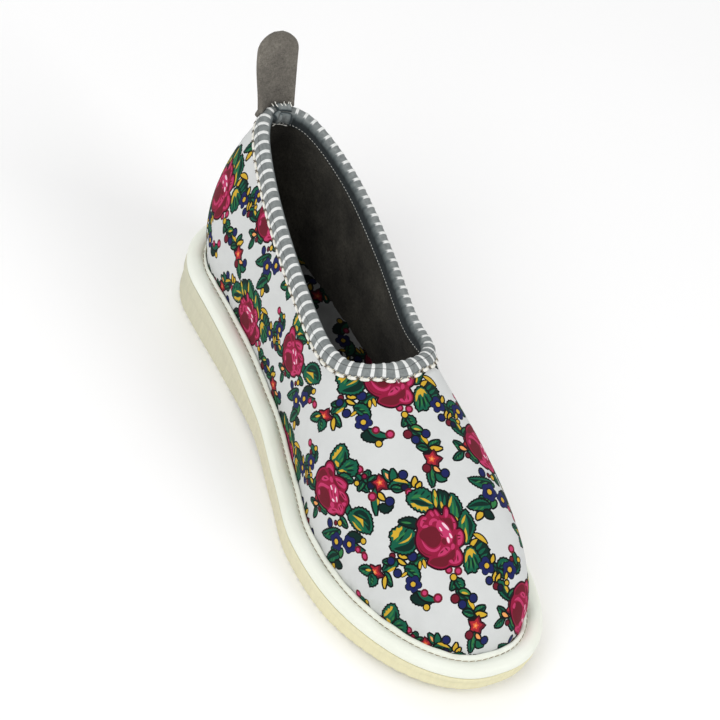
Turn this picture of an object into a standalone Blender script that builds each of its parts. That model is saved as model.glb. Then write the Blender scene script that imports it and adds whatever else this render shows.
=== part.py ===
"""House slipper for the right foot: printed upper, wrapped welt, wedge outsole, bound collar, felt pull tab.

Sizes and tables are in millimetres, and solid() writes them to the meshes in metres. A station is measured from the
heel end of the sole towards the toe. Across is positive towards the inner side, where the big toe is. Heights start
at the floor. The toe points along -Y.
"""

import math
from collections import namedtuple

import bmesh
import bpy
import numpy as np

MM = 0.001
GAP = 0.3

# Driving sizes
SOLE_LENGTH = 266.0
WELT_WIDTH = 10.4
WALL = 3.0
INSOLE_THICKNESS = 4.0
BINDING_DROP = 5.4
BINDING_DROP_INSIDE = 8.0
BINDING_THICKNESS = 0.9
TAB_WIDTH = 20.0
TAB_THICKNESS = 2.6
TAB_ABOVE_COLLAR = 34.6
TAB_BELOW_COLLAR = 12.0
TAB_LEAN = 19.0
TAB_END_RADIUS = 9.0
TAB_SKIVED = 1.0
TAB_FLATTEN = 22.0
TAB_WAIST = 0.92
TAB_SEWN_SHARE = 0.75
TAB_NARROWEST = 0.94
SHARP_ANGLE = math.radians(50)

# Round ends of the sole: where each end begins to close, and how blunt it is (2 is an ellipse)
HEEL_ROUND = 36.0
HEEL_BLUNT = 2.05
TOE_ROUND = 92.0
TOE_BLUNT_OUTER = 2.25
TOE_BLUNT_INNER = 2.6

# Tread ribs across the bottom
RIB_PITCH = 4.6
GROOVE_WIDTH = 1.7
GROOVE_DEPTH = 1.1

# Counts of points round the sole's edge, up the upper's wall, and along and across the tab
HALF_COUNT = 40
RING_COUNT = 2 * HALF_COUNT
WALL_COUNT = 11
FINE_COUNT = 161
TAB_ROWS = 18
TAB_COLUMNS = 7

SoleSection = namedtuple("SoleSection", "station axis outer inner top bottom")
SOLE_SECTIONS = (
    SoleSection(station=0, axis=0, outer=34.5, inner=34.4, top=20.5, bottom=0.0),
    SoleSection(station=42, axis=0, outer=34.8, inner=36.6, top=20.5, bottom=0.0),
    SoleSection(station=76, axis=0, outer=34.2, inner=41.0, top=18.0, bottom=0.0),
    SoleSection(station=108, axis=0, outer=35.6, inner=45.0, top=13.6, bottom=2.2),
    SoleSection(station=146, axis=0.5, outer=43.5, inner=47.0, top=11.0, bottom=0.0),
    SoleSection(station=176, axis=1.2, outer=50.6, inner=48.0, top=10.6, bottom=0.0),
    SoleSection(station=206, axis=2.0, outer=51.8, inner=48.5, top=11.0, bottom=0.0),
    SoleSection(station=240, axis=3.0, outer=50.0, inner=48.5, top=12.6, bottom=3.2),
    SoleSection(station=266, axis=3.6, outer=47.0, inner=47.5, top=15.0, bottom=6.6),
)

# Each row joins a place on the sole's edge to a place on the collar. The wall leaves the sole with rise and lean
# (outwards from upright), and comes into the collar with drop and slope (below level).
UpperSection = namedtuple("UpperSection", "edge station across height rise lean drop slope")
OUTER_SECTIONS = (
    UpperSection(edge=0, station=8.0, across=1.0, height=100.4, rise=32, lean=19, drop=28, slope=67),
    UpperSection(edge=14, station=19.0, across=-10.5, height=97.8, rise=32, lean=22, drop=28, slope=67),
    UpperSection(edge=45, station=47.0, across=-16.5, height=87.3, rise=24, lean=9, drop=24, slope=74),
    UpperSection(edge=85, station=82.0, across=-20.0, height=77.4, rise=18, lean=4, drop=22, slope=75),
    UpperSection(edge=125, station=115.0, across=-21.6, height=70.8, rise=16, lean=6, drop=22, slope=69),
    UpperSection(edge=165, station=131.0, across=-19.2, height=71.8, rise=18, lean=8, drop=25, slope=45),
    UpperSection(edge=205, station=139.0, across=-12.5, height=74.6, rise=19, lean=8, drop=34, slope=30),
    UpperSection(edge=240, station=141.8, across=-5.0, height=75.8, rise=22, lean=6, drop=48, slope=25),
    UpperSection(edge=266, station=142.6, across=2.2, height=76.0, rise=27, lean=7, drop=56, slope=22),
)
INNER_SECTIONS = (
    UpperSection(edge=240, station=142.0, across=9.5, height=75.8, rise=32, lean=18, drop=52, slope=21),
    UpperSection(edge=205, station=139.8, across=17.5, height=74.8, rise=30, lean=13, drop=34, slope=32),
    UpperSection(edge=165, station=132.0, across=24.6, height=72.2, rise=22, lean=3, drop=22, slope=62),
    UpperSection(edge=125, station=115.0, across=26.6, height=70.4, rise=18, lean=-4, drop=22, slope=83),
    UpperSection(edge=85, station=82.0, across=29.4, height=77.0, rise=18, lean=0, drop=22, slope=84),
    UpperSection(edge=45, station=47.0, across=27.5, height=87.0, rise=24, lean=6, drop=24, slope=77),
    UpperSection(edge=14, station=18.6, across=17.0, height=97.8, rise=32, lean=20, drop=28, slope=68),
)
# Wall rows crowd towards the sole, where the wall bends most. On the side walls the sole's own outward direction
# outweighs the short way from collar to sole, and this reach sets by how much.
ROW_CROWDING = 1.25
FAN_REACH = 25.0

# The welt's section: inset from the sole's edge and height over the outsole's top. Its last two points lie against
# the upper and are set from the upper's own wall.
WeltPoint = namedtuple("WeltPoint", "inset height")
WELT_SECTION = (
    WeltPoint(inset=0.5, height=GAP),
    WeltPoint(inset=0.0, height=1.4),
    WeltPoint(inset=0.5, height=3.1),
    WeltPoint(inset=2.0, height=4.6),
    WeltPoint(inset=4.2, height=5.1),
    WeltPoint(inset=6.2, height=4.6),
    WeltPoint(inset=7.3, height=3.6),
    WeltPoint(inset=8.1, height=4.6),
)
WELT_LIP_HEIGHT = 4.8
WELT_LIP_WIDTH = 1.0
WELT_LIP_ROUND = 0.5

# The binding's section over the collar: across from the middle of the wall's edge, and up from that edge
FoldPoint = namedtuple("FoldPoint", "across up")
HALF_WALL = WALL / 2
FOLD_SKIN = (
    FoldPoint(across=HALF_WALL + 1.1, up=0.3),
    FoldPoint(across=HALF_WALL + 0.1, up=1.2),
    FoldPoint(across=0.0, up=1.5),
    FoldPoint(across=-HALF_WALL - 0.1, up=1.2),
    FoldPoint(across=-HALF_WALL - 1.1, up=0.3),
)
FOLD_LINING = (
    FoldPoint(across=-HALF_WALL - GAP, up=0.1),
    FoldPoint(across=-HALF_WALL, up=0.35),
    FoldPoint(across=HALF_WALL, up=0.35),
    FoldPoint(across=HALF_WALL + GAP, up=0.1),
)
FLAP_TOP = 0.8
FLAP_GAP = 0.4

# The outsole's side from the floor up: inset from the sole's edge, and share of the way up
SidePoint = namedtuple("SidePoint", "inset share")
OUTSOLE_SIDE = (
    SidePoint(inset=1.6, share=0.0),
    SidePoint(inset=0.7, share=0.12),
    SidePoint(inset=0.8, share=0.62),
    SidePoint(inset=0.1, share=0.70),
    SidePoint(inset=0.3, share=1.0),
)

Finish = namedtuple("Finish", "color roughness")
FINISHES = {
    "outsole": Finish((0.84, 0.79, 0.62), 0.75),
    "welt": Finish((0.90, 0.90, 0.85), 0.6),
    "upper": Finish((0.78, 0.76, 0.76), 0.9),
    "insole": Finish((0.70, 0.68, 0.68), 0.9),
    "collar_binding": Finish((0.45, 0.47, 0.49), 0.9),
    "pull_tab": Finish((0.22, 0.20, 0.18), 0.95),
}


def through(knots, values, at):
    """Smooth curve through a table's values that stays flat where the table is flat."""
    knots, values, at = (np.asarray(a, float) for a in (knots, values, at))
    steps = np.diff(knots)
    rises = np.diff(values) / steps
    before, after = rises[:-1], rises[1:]
    turning = before * after <= 0
    inner = np.where(turning, 0.0, 2 * before * after / np.where(turning, 1.0, before + after))
    slopes = np.concatenate([rises[:1], inner, rises[-1:]])
    return hermite(knots, values, slopes, at)


def hermite(knots, values, slopes, at):
    """Cubic through values with the given slopes."""
    row = np.clip(np.searchsorted(knots, at, side="right") - 1, 0, len(knots) - 2)
    step = knots[row + 1] - knots[row]
    t = (at - knots[row]) / step
    rest = 1 - t
    held = values[row] * rest**2 * (1 + 2 * t) + values[row + 1] * t**2 * (3 - 2 * t)
    return held + step * t * rest * (slopes[row] * rest - slopes[row + 1] * t)


def round_loop(knots, values, at, period):
    """Smooth closed curve through values at knots that repeat after the period."""
    knots = np.concatenate([knots[-2:] - period, knots, knots[:2] + period])
    values = np.concatenate([values[-2:], values, values[:2]])
    slopes = np.gradient(values, knots)
    return hermite(knots, values, slopes, at)


def sole_column(name, station):
    """One column of the sole's table at any station."""
    knots = [row.station for row in SOLE_SECTIONS]
    return through(knots, [getattr(row, name) for row in SOLE_SECTIONS], np.clip(station, 0, SOLE_LENGTH))


def end_share(station, blunt_toe):
    """Share of the full breadth that the round heel and toe leave at a station."""
    heel = np.clip(1 - station / HEEL_ROUND, 0, 1)
    toe = np.clip(1 - (SOLE_LENGTH - station) / TOE_ROUND, 0, 1)
    at_heel = (1 - heel**HEEL_BLUNT) ** (1 / HEEL_BLUNT)
    at_toe = (1 - toe**blunt_toe) ** (1 / blunt_toe)
    return at_heel * at_toe


def ring_place(station):
    """Place of a sole station along half the ring, as a count of points from the heel."""
    return HALF_COUNT / math.pi * np.arccos(1 - 2 * np.asarray(station, float) / SOLE_LENGTH)


def sole_edge():
    """The sole's outline in plan: heel, outer side, toe, inner side. One row of x and y for each point."""
    places = np.arange(HALF_COUNT + 1)
    station = SOLE_LENGTH / 2 * (1 - np.cos(math.pi * places / HALF_COUNT))
    axis = sole_column("axis", station)
    outer = axis - sole_column("outer", station) * end_share(station, TOE_BLUNT_OUTER)
    inner = axis + sole_column("inner", station) * end_share(station, TOE_BLUNT_INNER)
    back = slice(HALF_COUNT - 1, 0, -1)
    across = np.concatenate([outer, inner[back]])
    return np.stack([across, -np.concatenate([station, station[back]])], axis=1)


def outward(ring):
    """Unit vectors in plan that point out of a ring."""
    along = np.roll(ring, -1, axis=0) - np.roll(ring, 1, axis=0)
    normal = np.stack([along[:, 1], -along[:, 0]], axis=1)
    return normal / np.linalg.norm(normal, axis=1, keepdims=True)


def inset_ring(inset):
    """The sole's outline moved inwards."""
    edge = sole_edge()
    return edge - outward(edge) * inset


def raised(ring, height):
    """A plan ring with a height for each point."""
    return np.column_stack([ring, np.broadcast_to(height, len(ring))])


def top_of_sole(ring):
    return sole_column("top", -ring[:, 1])


def section_column(name):
    """One column of the upper's table for every point of the ring."""
    outer = [(ring_place(row.edge), getattr(row, name)) for row in OUTER_SECTIONS]
    inner = [(RING_COUNT - ring_place(row.edge), getattr(row, name)) for row in INNER_SECTIONS]
    knots, values = np.array(outer + inner, float).T
    return round_loop(knots, values, np.arange(RING_COUNT), RING_COUNT)


def upper_handles():
    """Foot, two handles and collar end of every wall curve of the upper's outer face."""
    foot_ring = inset_ring(WELT_WIDTH)
    foot = raised(foot_ring, top_of_sole(foot_ring) + GAP)
    collar = np.column_stack([section_column("across"), -section_column("station"), section_column("height")])
    out = (foot - collar)[:, :2] + FAN_REACH * outward(foot_ring)
    out = raised(out / np.linalg.norm(out, axis=1, keepdims=True), 0.0)
    up = np.array([0.0, 0.0, 1.0])
    lean, slope = np.radians(section_column("lean"))[:, None], np.radians(section_column("slope"))[:, None]
    rise, drop = section_column("rise")[:, None], section_column("drop")[:, None]
    low = foot + rise * (np.sin(lean) * out + np.cos(lean) * up)
    high = collar + drop * (np.cos(slope) * out - np.sin(slope) * up)
    return foot, low, high, collar


def upper_face(shares):
    """Outer face of the upper, as rows of rings: share 0 is at the sole and 1 at the collar."""
    rows = np.asarray(shares, float)[:, None]
    return wall_points(np.broadcast_to(rows, (len(rows), RING_COUNT)))


def wall_points(shares):
    """Points of the wall curves: a share of the way up for every row and every point of the ring."""
    foot, low, high, collar = upper_handles()
    t = shares[:, :, None]
    rest = 1 - t
    return rest**3 * foot + 3 * rest**2 * t * low + 3 * rest * t**2 * high + t**3 * collar


def face_normals(rows):
    """Outward unit normals of a face given as rows of rings."""
    around = np.roll(rows, -1, axis=1) - np.roll(rows, 1, axis=1)
    upwards = np.gradient(rows, axis=0)
    normal = np.cross(around, upwards)
    return normal / np.linalg.norm(normal, axis=2, keepdims=True)


def wall_shares():
    """Shares up the wall, closer together near the sole where it bends most."""
    return np.linspace(0, 1, WALL_COUNT) ** ROW_CROWDING


def inner_face(rows):
    """The upper's inner face: the outer one moved in by the wall, and level where it stands on the sole."""
    normal = face_normals(rows)
    normal[0, :, 2] = 0
    normal[0] /= np.linalg.norm(normal[0], axis=1, keepdims=True)
    return rows - normal * WALL


def below_collar(distances):
    """Rows of the upper's outer face at these distances down from the collar, measured along the wall."""
    fine = np.linspace(1, 0, FINE_COUNT)
    rows = upper_face(fine)
    lengths = np.linalg.norm(np.diff(rows, axis=0), axis=2).cumsum(axis=0)
    lengths = np.vstack([np.zeros(RING_COUNT), lengths])
    return wall_points(np.array([np.interp(distances, lengths[:, i], fine) for i in range(RING_COUNT)]).T)


def solid(name, rings, closed=False):
    """A mesh object from rings of equal count. Closed joins the last ring to the first, else both ends are capped."""
    rings = np.asarray(rings, float)
    levels, count = rings.shape[:2]
    mesh = bmesh.new()
    verts = [[mesh.verts.new(point * MM) for point in ring] for ring in rings]
    for level in range(levels if closed else levels - 1):
        low, high = verts[level], verts[(level + 1) % levels]
        for i in range(count):
            j = (i + 1) % count
            mesh.faces.new((low[i], low[j], high[j], high[i]))
    if not closed:
        cap(mesh, verts[0], turned=True)
        cap(mesh, verts[-1], turned=False)
    return finished(name, mesh)


def cap(mesh, ring, turned):
    """Closes a ring with strips that join the outer side's points to the inner side's."""
    count = len(ring)
    for i in range(count // 2):
        corners = [ring[i], ring[i + 1], ring[(count - i - 1) % count], ring[-i]]
        corners = list(dict.fromkeys(corners))
        mesh.faces.new(corners[::-1] if turned else corners)


def finished(name, mesh):
    """Turns the faces outwards and makes the named object with its finish."""
    bmesh.ops.recalc_face_normals(mesh, faces=mesh.faces)
    data = bpy.data.meshes.new(name)
    mesh.to_mesh(data)
    mesh.free()
    data.shade_smooth()
    data.set_sharp_from_angle(angle=SHARP_ANGLE)
    material = bpy.data.materials.new(name)
    material.use_nodes = True
    shader = material.node_tree.nodes["Principled BSDF"]
    shader.inputs["Base Color"].default_value = (*FINISHES[name].color, 1.0)
    shader.inputs["Roughness"].default_value = FINISHES[name].roughness
    data.materials.append(material)
    made = bpy.data.objects.new(name, data)
    bpy.context.scene.collection.objects.link(made)
    return made


def make_outsole(cutter):
    """Wedge sole: rings from the floor up, with a stepped side, then grooves cut across the tread."""
    rings = []
    for point in OUTSOLE_SIDE:
        ring = inset_ring(point.inset)
        bottom = sole_column("bottom", -ring[:, 1])
        rings.append(raised(ring, bottom + point.share * (top_of_sole(ring) - bottom)))
    outsole = solid("outsole", rings)
    cut = outsole.modifiers.new("tread", "BOOLEAN")
    cut.operation = "DIFFERENCE"
    cut.object = cutter
    return outsole


def groove_section():
    """Section of a groove's bar, along the sole and up from its bottom: wide under the floor, narrow at its root."""
    mouth, root = GROOVE_WIDTH / 2, GROOVE_WIDTH / 4
    below = [(-GROOVE_WIDTH, -GROOVE_DEPTH), (GROOVE_WIDTH, -GROOVE_DEPTH)]
    return below + [(mouth, 0), (root, GROOVE_DEPTH), (-root, GROOVE_DEPTH), (-mouth, 0)]


def tread_cutter():
    """A row of bars across the bottom, each at the height and slope that the bottom has at its station."""
    mesh = bmesh.new()
    half_length = SOLE_LENGTH / 4
    for station in np.arange(RIB_PITCH, SOLE_LENGTH - RIB_PITCH / 2, RIB_PITCH):
        middle, ahead = sole_column("bottom", np.array([station, station + 1.0]))
        slope = math.atan(ahead - middle)
        section = []
        for along, up in groove_section():
            y = -station - along * math.cos(slope) + up * math.sin(slope)
            z = middle + along * math.sin(slope) + up * math.cos(slope)
            section.append((y, z))
        ends = [[mesh.verts.new(np.array((x, y, z)) * MM) for y, z in section] for x in (-half_length, half_length)]
        mesh.faces.new(ends[0])
        mesh.faces.new(ends[1][::-1])
        for i in range(len(section)):
            mesh.faces.new((ends[0][i], ends[0][i - 1], ends[1][i - 1], ends[1][i]))
    bmesh.ops.recalc_face_normals(mesh, faces=mesh.faces)
    data = bpy.data.meshes.new("tread_cutter")
    mesh.to_mesh(data)
    mesh.free()
    cutter = bpy.data.objects.new("tread_cutter", data)
    bpy.context.scene.collection.objects.link(cutter)
    cutter.hide_render = True
    cutter.display_type = "WIRE"
    return cutter


def make_welt():
    """Rolled strip round the upper's foot: a roll over the sole's edge, a stitch groove and a lip at the upper."""
    rings = []
    for point in WELT_SECTION:
        ring = inset_ring(point.inset)
        rings.append(raised(ring, top_of_sole(ring) + point.height))
    shares = np.linspace(0, 1, FINE_COUNT)
    rows = upper_face(shares)
    over_foot = np.maximum.accumulate(rows[:, :, 2] - rows[0, :, 2], axis=0)
    lip_rise = WELT_LIP_HEIGHT - GAP
    lip_shares = [[np.interp(lip_rise, over_foot[:, i], shares) for i in range(RING_COUNT)]]
    lip = wall_points(np.array(lip_shares))[0]
    out = raised(outward(inset_ring(WELT_WIDTH)), 0.0)
    rings.append(lip + out * (GAP + WELT_LIP_WIDTH))
    rings.append(lip + out * GAP - np.array([0, 0, WELT_LIP_ROUND]))
    rings.append(rows[0] + out * GAP)
    return solid("welt", rings, closed=True)


def make_upper():
    """Hollow upper: outer face from the sole to the collar and inner face back down."""
    outer = upper_face(wall_shares())
    inner = inner_face(outer)
    return solid("upper", np.concatenate([outer, inner[::-1]]), closed=True)


def make_insole():
    """Flat sock on the outsole, inside the upper's foot."""
    clear = WELT_WIDTH + WALL + 2 * GAP
    ring = inset_ring(clear)
    under = raised(ring, top_of_sole(ring) + GAP)
    return solid("insole", [under, under + np.array([0, 0, INSOLE_THICKNESS])])


def make_binding():
    """Folded ribbon over the collar's edge: an outer flap, a round fold and an inner flap."""
    outer = below_collar([BINDING_DROP, BINDING_DROP / 2, FLAP_TOP, 0.0])
    normal = face_normals(outer)
    behind = below_collar([BINDING_DROP_INSIDE, BINDING_DROP_INSIDE / 2, FLAP_TOP, 0.0])
    behind_normal = face_normals(behind)
    inner = behind - behind_normal * WALL
    edge, edge_normal = outer[3], normal[3]
    up = edge - outer[2]
    up /= np.linalg.norm(up, axis=1, keepdims=True)
    middle = edge - edge_normal * HALF_WALL
    near, far = FLAP_GAP, FLAP_GAP + BINDING_THICKNESS
    skin = [middle + edge_normal * point.across + up * point.up for point in FOLD_SKIN]
    lining = [middle + edge_normal * point.across + up * point.up for point in FOLD_LINING]
    rings = [*(outer + normal * far)[:3], *skin, *(inner - behind_normal * far)[2::-1]]
    rings += [*(inner - behind_normal * near)[:3], *lining, *(outer + normal * near)[2::-1]]
    return solid("collar_binding", rings, closed=True)


def tab_strip():
    """Inner face of the tab: rows from its sewn end below the collar up to its free round end."""
    below = np.linspace(TAB_BELOW_COLLAR, 0, TAB_ROWS // 2)
    turns = np.linspace(0, math.pi / 2, TAB_ROWS - TAB_ROWS // 2 + 1)[1:]
    above = TAB_ABOVE_COLLAR * np.sin(turns)
    places = np.linspace(-TAB_WIDTH / 2, TAB_WIDTH / 2, TAB_COLUMNS)
    beside = np.arange(-RING_COUNT // 8, RING_COUNT // 8 + 1)
    rows = []
    surface = below_collar(below)
    normals = face_normals(surface)
    over_binding = FLAP_GAP + BINDING_THICKNESS + GAP
    for drop, ring, normal in zip(below, surface, normals):
        clear = np.interp(drop, [BINDING_DROP + 1, TAB_BELOW_COLLAR], [over_binding, over_binding / 2])
        path = (ring + normal * clear)[beside]
        lengths = np.concatenate([[0], np.linalg.norm(np.diff(path, axis=0), axis=1).cumsum()])
        lengths -= lengths[len(beside) // 2]
        width = round_end(TAB_BELOW_COLLAR - drop, TAB_END_RADIUS)
        width *= np.interp(drop, [0, TAB_BELOW_COLLAR], [TAB_WAIST, TAB_SEWN_SHARE])
        rows.append([[np.interp(-place * width, lengths, path[:, axis]) for axis in range(3)] for place in places])
    base = np.array(rows[-1])
    middle = base[TAB_COLUMNS // 2]
    lean = math.radians(TAB_LEAN)
    rising = np.array([0.0, math.sin(lean), math.cos(lean)])
    for height in above:
        flat = np.clip(height / TAB_FLATTEN, 0, 1)
        flat = flat * flat * (3 - 2 * flat)
        level = middle + np.outer(places, [1.0, 0.0, 0.0])
        width = round_end(TAB_ABOVE_COLLAR - height, TAB_END_RADIUS)
        row = (1 - flat) * base + flat * level
        rows.append(middle + (row - middle) * [width, 1.0, 1.0] + rising * height)
    return np.array(rows)


def round_end(distance, radius):
    """Share of the full width at a distance from a strip's round end."""
    short = np.clip(1 - distance / radius, 0, TAB_NARROWEST)
    return math.sqrt(1 - short**2)


def make_tab():
    """Felt strip on the outside of the heel, sewn below the collar and standing free above it."""
    strip = tab_strip()
    across = np.gradient(strip, axis=1)
    along = np.gradient(strip, axis=0)
    normal = np.cross(along, across)
    normal /= np.linalg.norm(normal, axis=2, keepdims=True)
    thickness = np.full(TAB_ROWS, TAB_THICKNESS)
    sewn = TAB_ROWS // 2
    thickness[:sewn] = np.linspace(TAB_SKIVED, TAB_THICKNESS, sewn)
    outer = strip + normal * thickness[:, None, None]
    return solid("pull_tab", np.concatenate([outer, strip[:, ::-1]], axis=1))


def stand_at_origin(pieces, cutter):
    """Hangs everything on one empty that puts the middle of the pieces' box over the origin, sole on the floor."""
    corners = np.array([vertex.co for piece in pieces for vertex in piece.data.vertices])
    low, high = corners.min(axis=0), corners.max(axis=0)
    frame = bpy.data.objects.new("slipper_frame", None)
    bpy.context.scene.collection.objects.link(frame)
    frame.location = (-(low[0] + high[0]) / 2, -(low[1] + high[1]) / 2, -low[2])
    for piece in [*pieces, cutter]:
        piece.parent = frame


def main():
    for old in list(bpy.data.objects):
        bpy.data.objects.remove(old)
    cutter = tread_cutter()
    pieces = [make_outsole(cutter), make_welt(), make_upper(), make_insole(), make_binding(), make_tab()]
    stand_at_origin(pieces, cutter)


main()
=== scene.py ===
"""House slipper for the right foot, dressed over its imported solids.

Printed cotton upper on felt, wrapped leatherette welt, ribbed rubber outsole, striped ribbon round the
collar, felt pull tab and printed sock. Tables are in millimetres in the maker's own frame: a station is
measured from the heel end of the sole towards the toe, across is positive towards the inner side, and heights
start at the floor. Meshes are written in metres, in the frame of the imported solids.
"""

import math
from collections import namedtuple

import bpy
import numpy as np
from mathutils import Matrix, Vector
from mathutils.bvhtree import BVHTree
from mathutils.geometry import delaunay_2d_cdt


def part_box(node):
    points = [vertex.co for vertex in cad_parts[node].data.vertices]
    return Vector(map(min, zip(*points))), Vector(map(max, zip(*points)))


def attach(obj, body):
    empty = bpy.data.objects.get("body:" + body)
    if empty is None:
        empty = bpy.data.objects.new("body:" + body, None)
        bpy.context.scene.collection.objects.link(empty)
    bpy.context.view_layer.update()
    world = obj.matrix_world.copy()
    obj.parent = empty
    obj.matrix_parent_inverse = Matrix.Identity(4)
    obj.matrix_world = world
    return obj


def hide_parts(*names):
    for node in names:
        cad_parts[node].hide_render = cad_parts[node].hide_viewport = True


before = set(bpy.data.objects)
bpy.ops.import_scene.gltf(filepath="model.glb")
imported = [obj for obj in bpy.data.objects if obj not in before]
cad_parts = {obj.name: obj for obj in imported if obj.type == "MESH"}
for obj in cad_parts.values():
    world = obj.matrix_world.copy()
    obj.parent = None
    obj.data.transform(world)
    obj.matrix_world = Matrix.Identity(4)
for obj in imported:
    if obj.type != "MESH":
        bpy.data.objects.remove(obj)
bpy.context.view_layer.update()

MM = 0.001

# Air between neighbouring pieces
GAP = 0.3

# Driving sizes, the same as the solids have
SOLE_LENGTH = 266.0
WELT_WIDTH = 10.4
WALL = 3.0
INSOLE_THICKNESS = 4.0
BINDING_DROP = 5.4
BINDING_DROP_INSIDE = 8.0
BINDING_THICKNESS = 0.9
TAB_WIDTH = 20.0
TAB_THICKNESS = 2.6
TAB_ABOVE_COLLAR = 34.6
TAB_BELOW_COLLAR = 12.0
TAB_LEAN = 19.0
TAB_END_RADIUS = 9.0
TAB_SKIVED = 1.0
TAB_FLATTEN = 22.0
TAB_WAIST = 0.92
TAB_SEWN_SHARE = 0.75
TAB_NARROWEST = 0.97

# Round ends of the sole
HEEL_ROUND = 36.0
HEEL_BLUNT = 2.05
TOE_ROUND = 92.0
TOE_BLUNT_OUTER = 2.25
TOE_BLUNT_INNER = 2.6

# Tread ribs across the bottom
RIB_PITCH = 4.6
GROOVE_WIDTH = 1.7
GROOVE_DEPTH = 1.1

# Points round the sole's edge
HALF_COUNT = 180
RING_COUNT = 2 * HALF_COUNT

# Rows up the upper's wall where a length is measured along it
FINE_ROWS = 161

SoleSection = namedtuple("SoleSection", "station axis outer inner top bottom")
SOLE_SECTIONS = (
    SoleSection(station=0, axis=0, outer=34.5, inner=34.4, top=20.5, bottom=0.0),
    SoleSection(station=42, axis=0, outer=34.8, inner=36.6, top=20.5, bottom=0.0),
    SoleSection(station=76, axis=0, outer=34.2, inner=41.0, top=18.0, bottom=0.0),
    SoleSection(station=108, axis=0, outer=35.6, inner=45.0, top=13.6, bottom=2.2),
    SoleSection(station=146, axis=0.5, outer=43.5, inner=47.0, top=11.0, bottom=0.0),
    SoleSection(station=176, axis=1.2, outer=50.6, inner=48.0, top=10.6, bottom=0.0),
    SoleSection(station=206, axis=2.0, outer=51.8, inner=48.5, top=11.0, bottom=0.0),
    SoleSection(station=240, axis=3.0, outer=50.0, inner=48.5, top=12.6, bottom=3.2),
    SoleSection(station=266, axis=3.6, outer=47.0, inner=47.5, top=15.0, bottom=6.6),
)

# Each row joins a place on the sole's edge to a place on the collar. The wall leaves the sole with rise and
# lean (outwards from upright), and comes into the collar with drop and slope (below level).
UpperSection = namedtuple("UpperSection", "edge station across height rise lean drop slope")
OUTER_SECTIONS = (
    UpperSection(edge=0, station=8.0, across=1.0, height=100.4, rise=32, lean=19, drop=28, slope=67),
    UpperSection(edge=14, station=19.0, across=-10.5, height=97.8, rise=32, lean=22, drop=28, slope=67),
    UpperSection(edge=45, station=47.0, across=-16.5, height=87.3, rise=24, lean=9, drop=24, slope=74),
    UpperSection(edge=85, station=82.0, across=-20.0, height=77.4, rise=18, lean=4, drop=22, slope=75),
    UpperSection(edge=125, station=115.0, across=-21.6, height=70.8, rise=16, lean=6, drop=22, slope=69),
    UpperSection(edge=165, station=131.0, across=-19.2, height=71.8, rise=18, lean=8, drop=25, slope=45),
    UpperSection(edge=205, station=139.0, across=-12.5, height=74.6, rise=19, lean=8, drop=34, slope=30),
    UpperSection(edge=240, station=141.8, across=-5.0, height=75.8, rise=22, lean=6, drop=48, slope=25),
    UpperSection(edge=266, station=142.6, across=2.2, height=76.0, rise=27, lean=7, drop=56, slope=22),
)
INNER_SECTIONS = (
    UpperSection(edge=240, station=142.0, across=9.5, height=75.8, rise=32, lean=18, drop=52, slope=21),
    UpperSection(edge=205, station=139.8, across=17.5, height=74.8, rise=30, lean=13, drop=34, slope=32),
    UpperSection(edge=165, station=132.0, across=24.6, height=72.2, rise=22, lean=3, drop=22, slope=62),
    UpperSection(edge=125, station=115.0, across=26.6, height=70.4, rise=18, lean=-4, drop=22, slope=83),
    UpperSection(edge=85, station=82.0, across=29.4, height=77.0, rise=18, lean=0, drop=22, slope=84),
    UpperSection(edge=45, station=47.0, across=27.5, height=87.0, rise=24, lean=6, drop=24, slope=77),
    UpperSection(edge=14, station=18.6, across=17.0, height=97.8, rise=32, lean=20, drop=28, slope=68),
)
FAN_REACH = 25.0

# The welt's section: inset from the sole's edge and height over the outsole's top. The lip follows the upper.
WeltPoint = namedtuple("WeltPoint", "inset height")
WELT_SECTION = (
    WeltPoint(inset=0.5, height=GAP),
    WeltPoint(inset=0.0, height=1.4),
    WeltPoint(inset=0.5, height=3.1),
    WeltPoint(inset=2.0, height=4.6),
    WeltPoint(inset=4.2, height=5.1),
    WeltPoint(inset=6.2, height=4.6),
    WeltPoint(inset=7.3, height=3.6),
    WeltPoint(inset=8.1, height=4.6),
)
WELT_LIP_HEIGHT = 4.8
WELT_LIP_WIDTH = 1.0
WELT_LIP_ROUND = 0.5
WELT_POINTS = 29
LIP_WAVE = 0.12

# The binding's section over the collar: across from the middle of the wall's edge, and up from that edge
FoldPoint = namedtuple("FoldPoint", "across up")
HALF_WALL = WALL / 2
FOLD_SKIN = (
    FoldPoint(across=HALF_WALL + 1.1, up=0.3),
    FoldPoint(across=HALF_WALL + 0.1, up=1.2),
    FoldPoint(across=0.0, up=1.5),
    FoldPoint(across=-HALF_WALL - 0.1, up=1.2),
    FoldPoint(across=-HALF_WALL - 1.1, up=0.3),
)
FOLD_LINING = (
    FoldPoint(across=-HALF_WALL - GAP, up=0.1),
    FoldPoint(across=-HALF_WALL, up=0.35),
    FoldPoint(across=HALF_WALL, up=0.35),
    FoldPoint(across=HALF_WALL + GAP, up=0.1),
)
FLAP_TOP = 0.8
FLAP_GAP = 0.4

# The outsole's side from the floor up: inset from the sole's edge, and share of the way up
SidePoint = namedtuple("SidePoint", "inset share")
OUTSOLE_SIDE = (
    SidePoint(inset=1.6, share=0.0),
    SidePoint(inset=0.95, share=0.05),
    SidePoint(inset=0.7, share=0.12),
    SidePoint(inset=0.7, share=0.3),
    SidePoint(inset=0.78, share=0.5),
    SidePoint(inset=0.8, share=0.62),
    SidePoint(inset=0.35, share=0.66),
    SidePoint(inset=0.1, share=0.70),
    SidePoint(inset=0.05, share=0.85),
    SidePoint(inset=0.12, share=0.97),
    SidePoint(inset=0.3, share=1.0),
)


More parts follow.
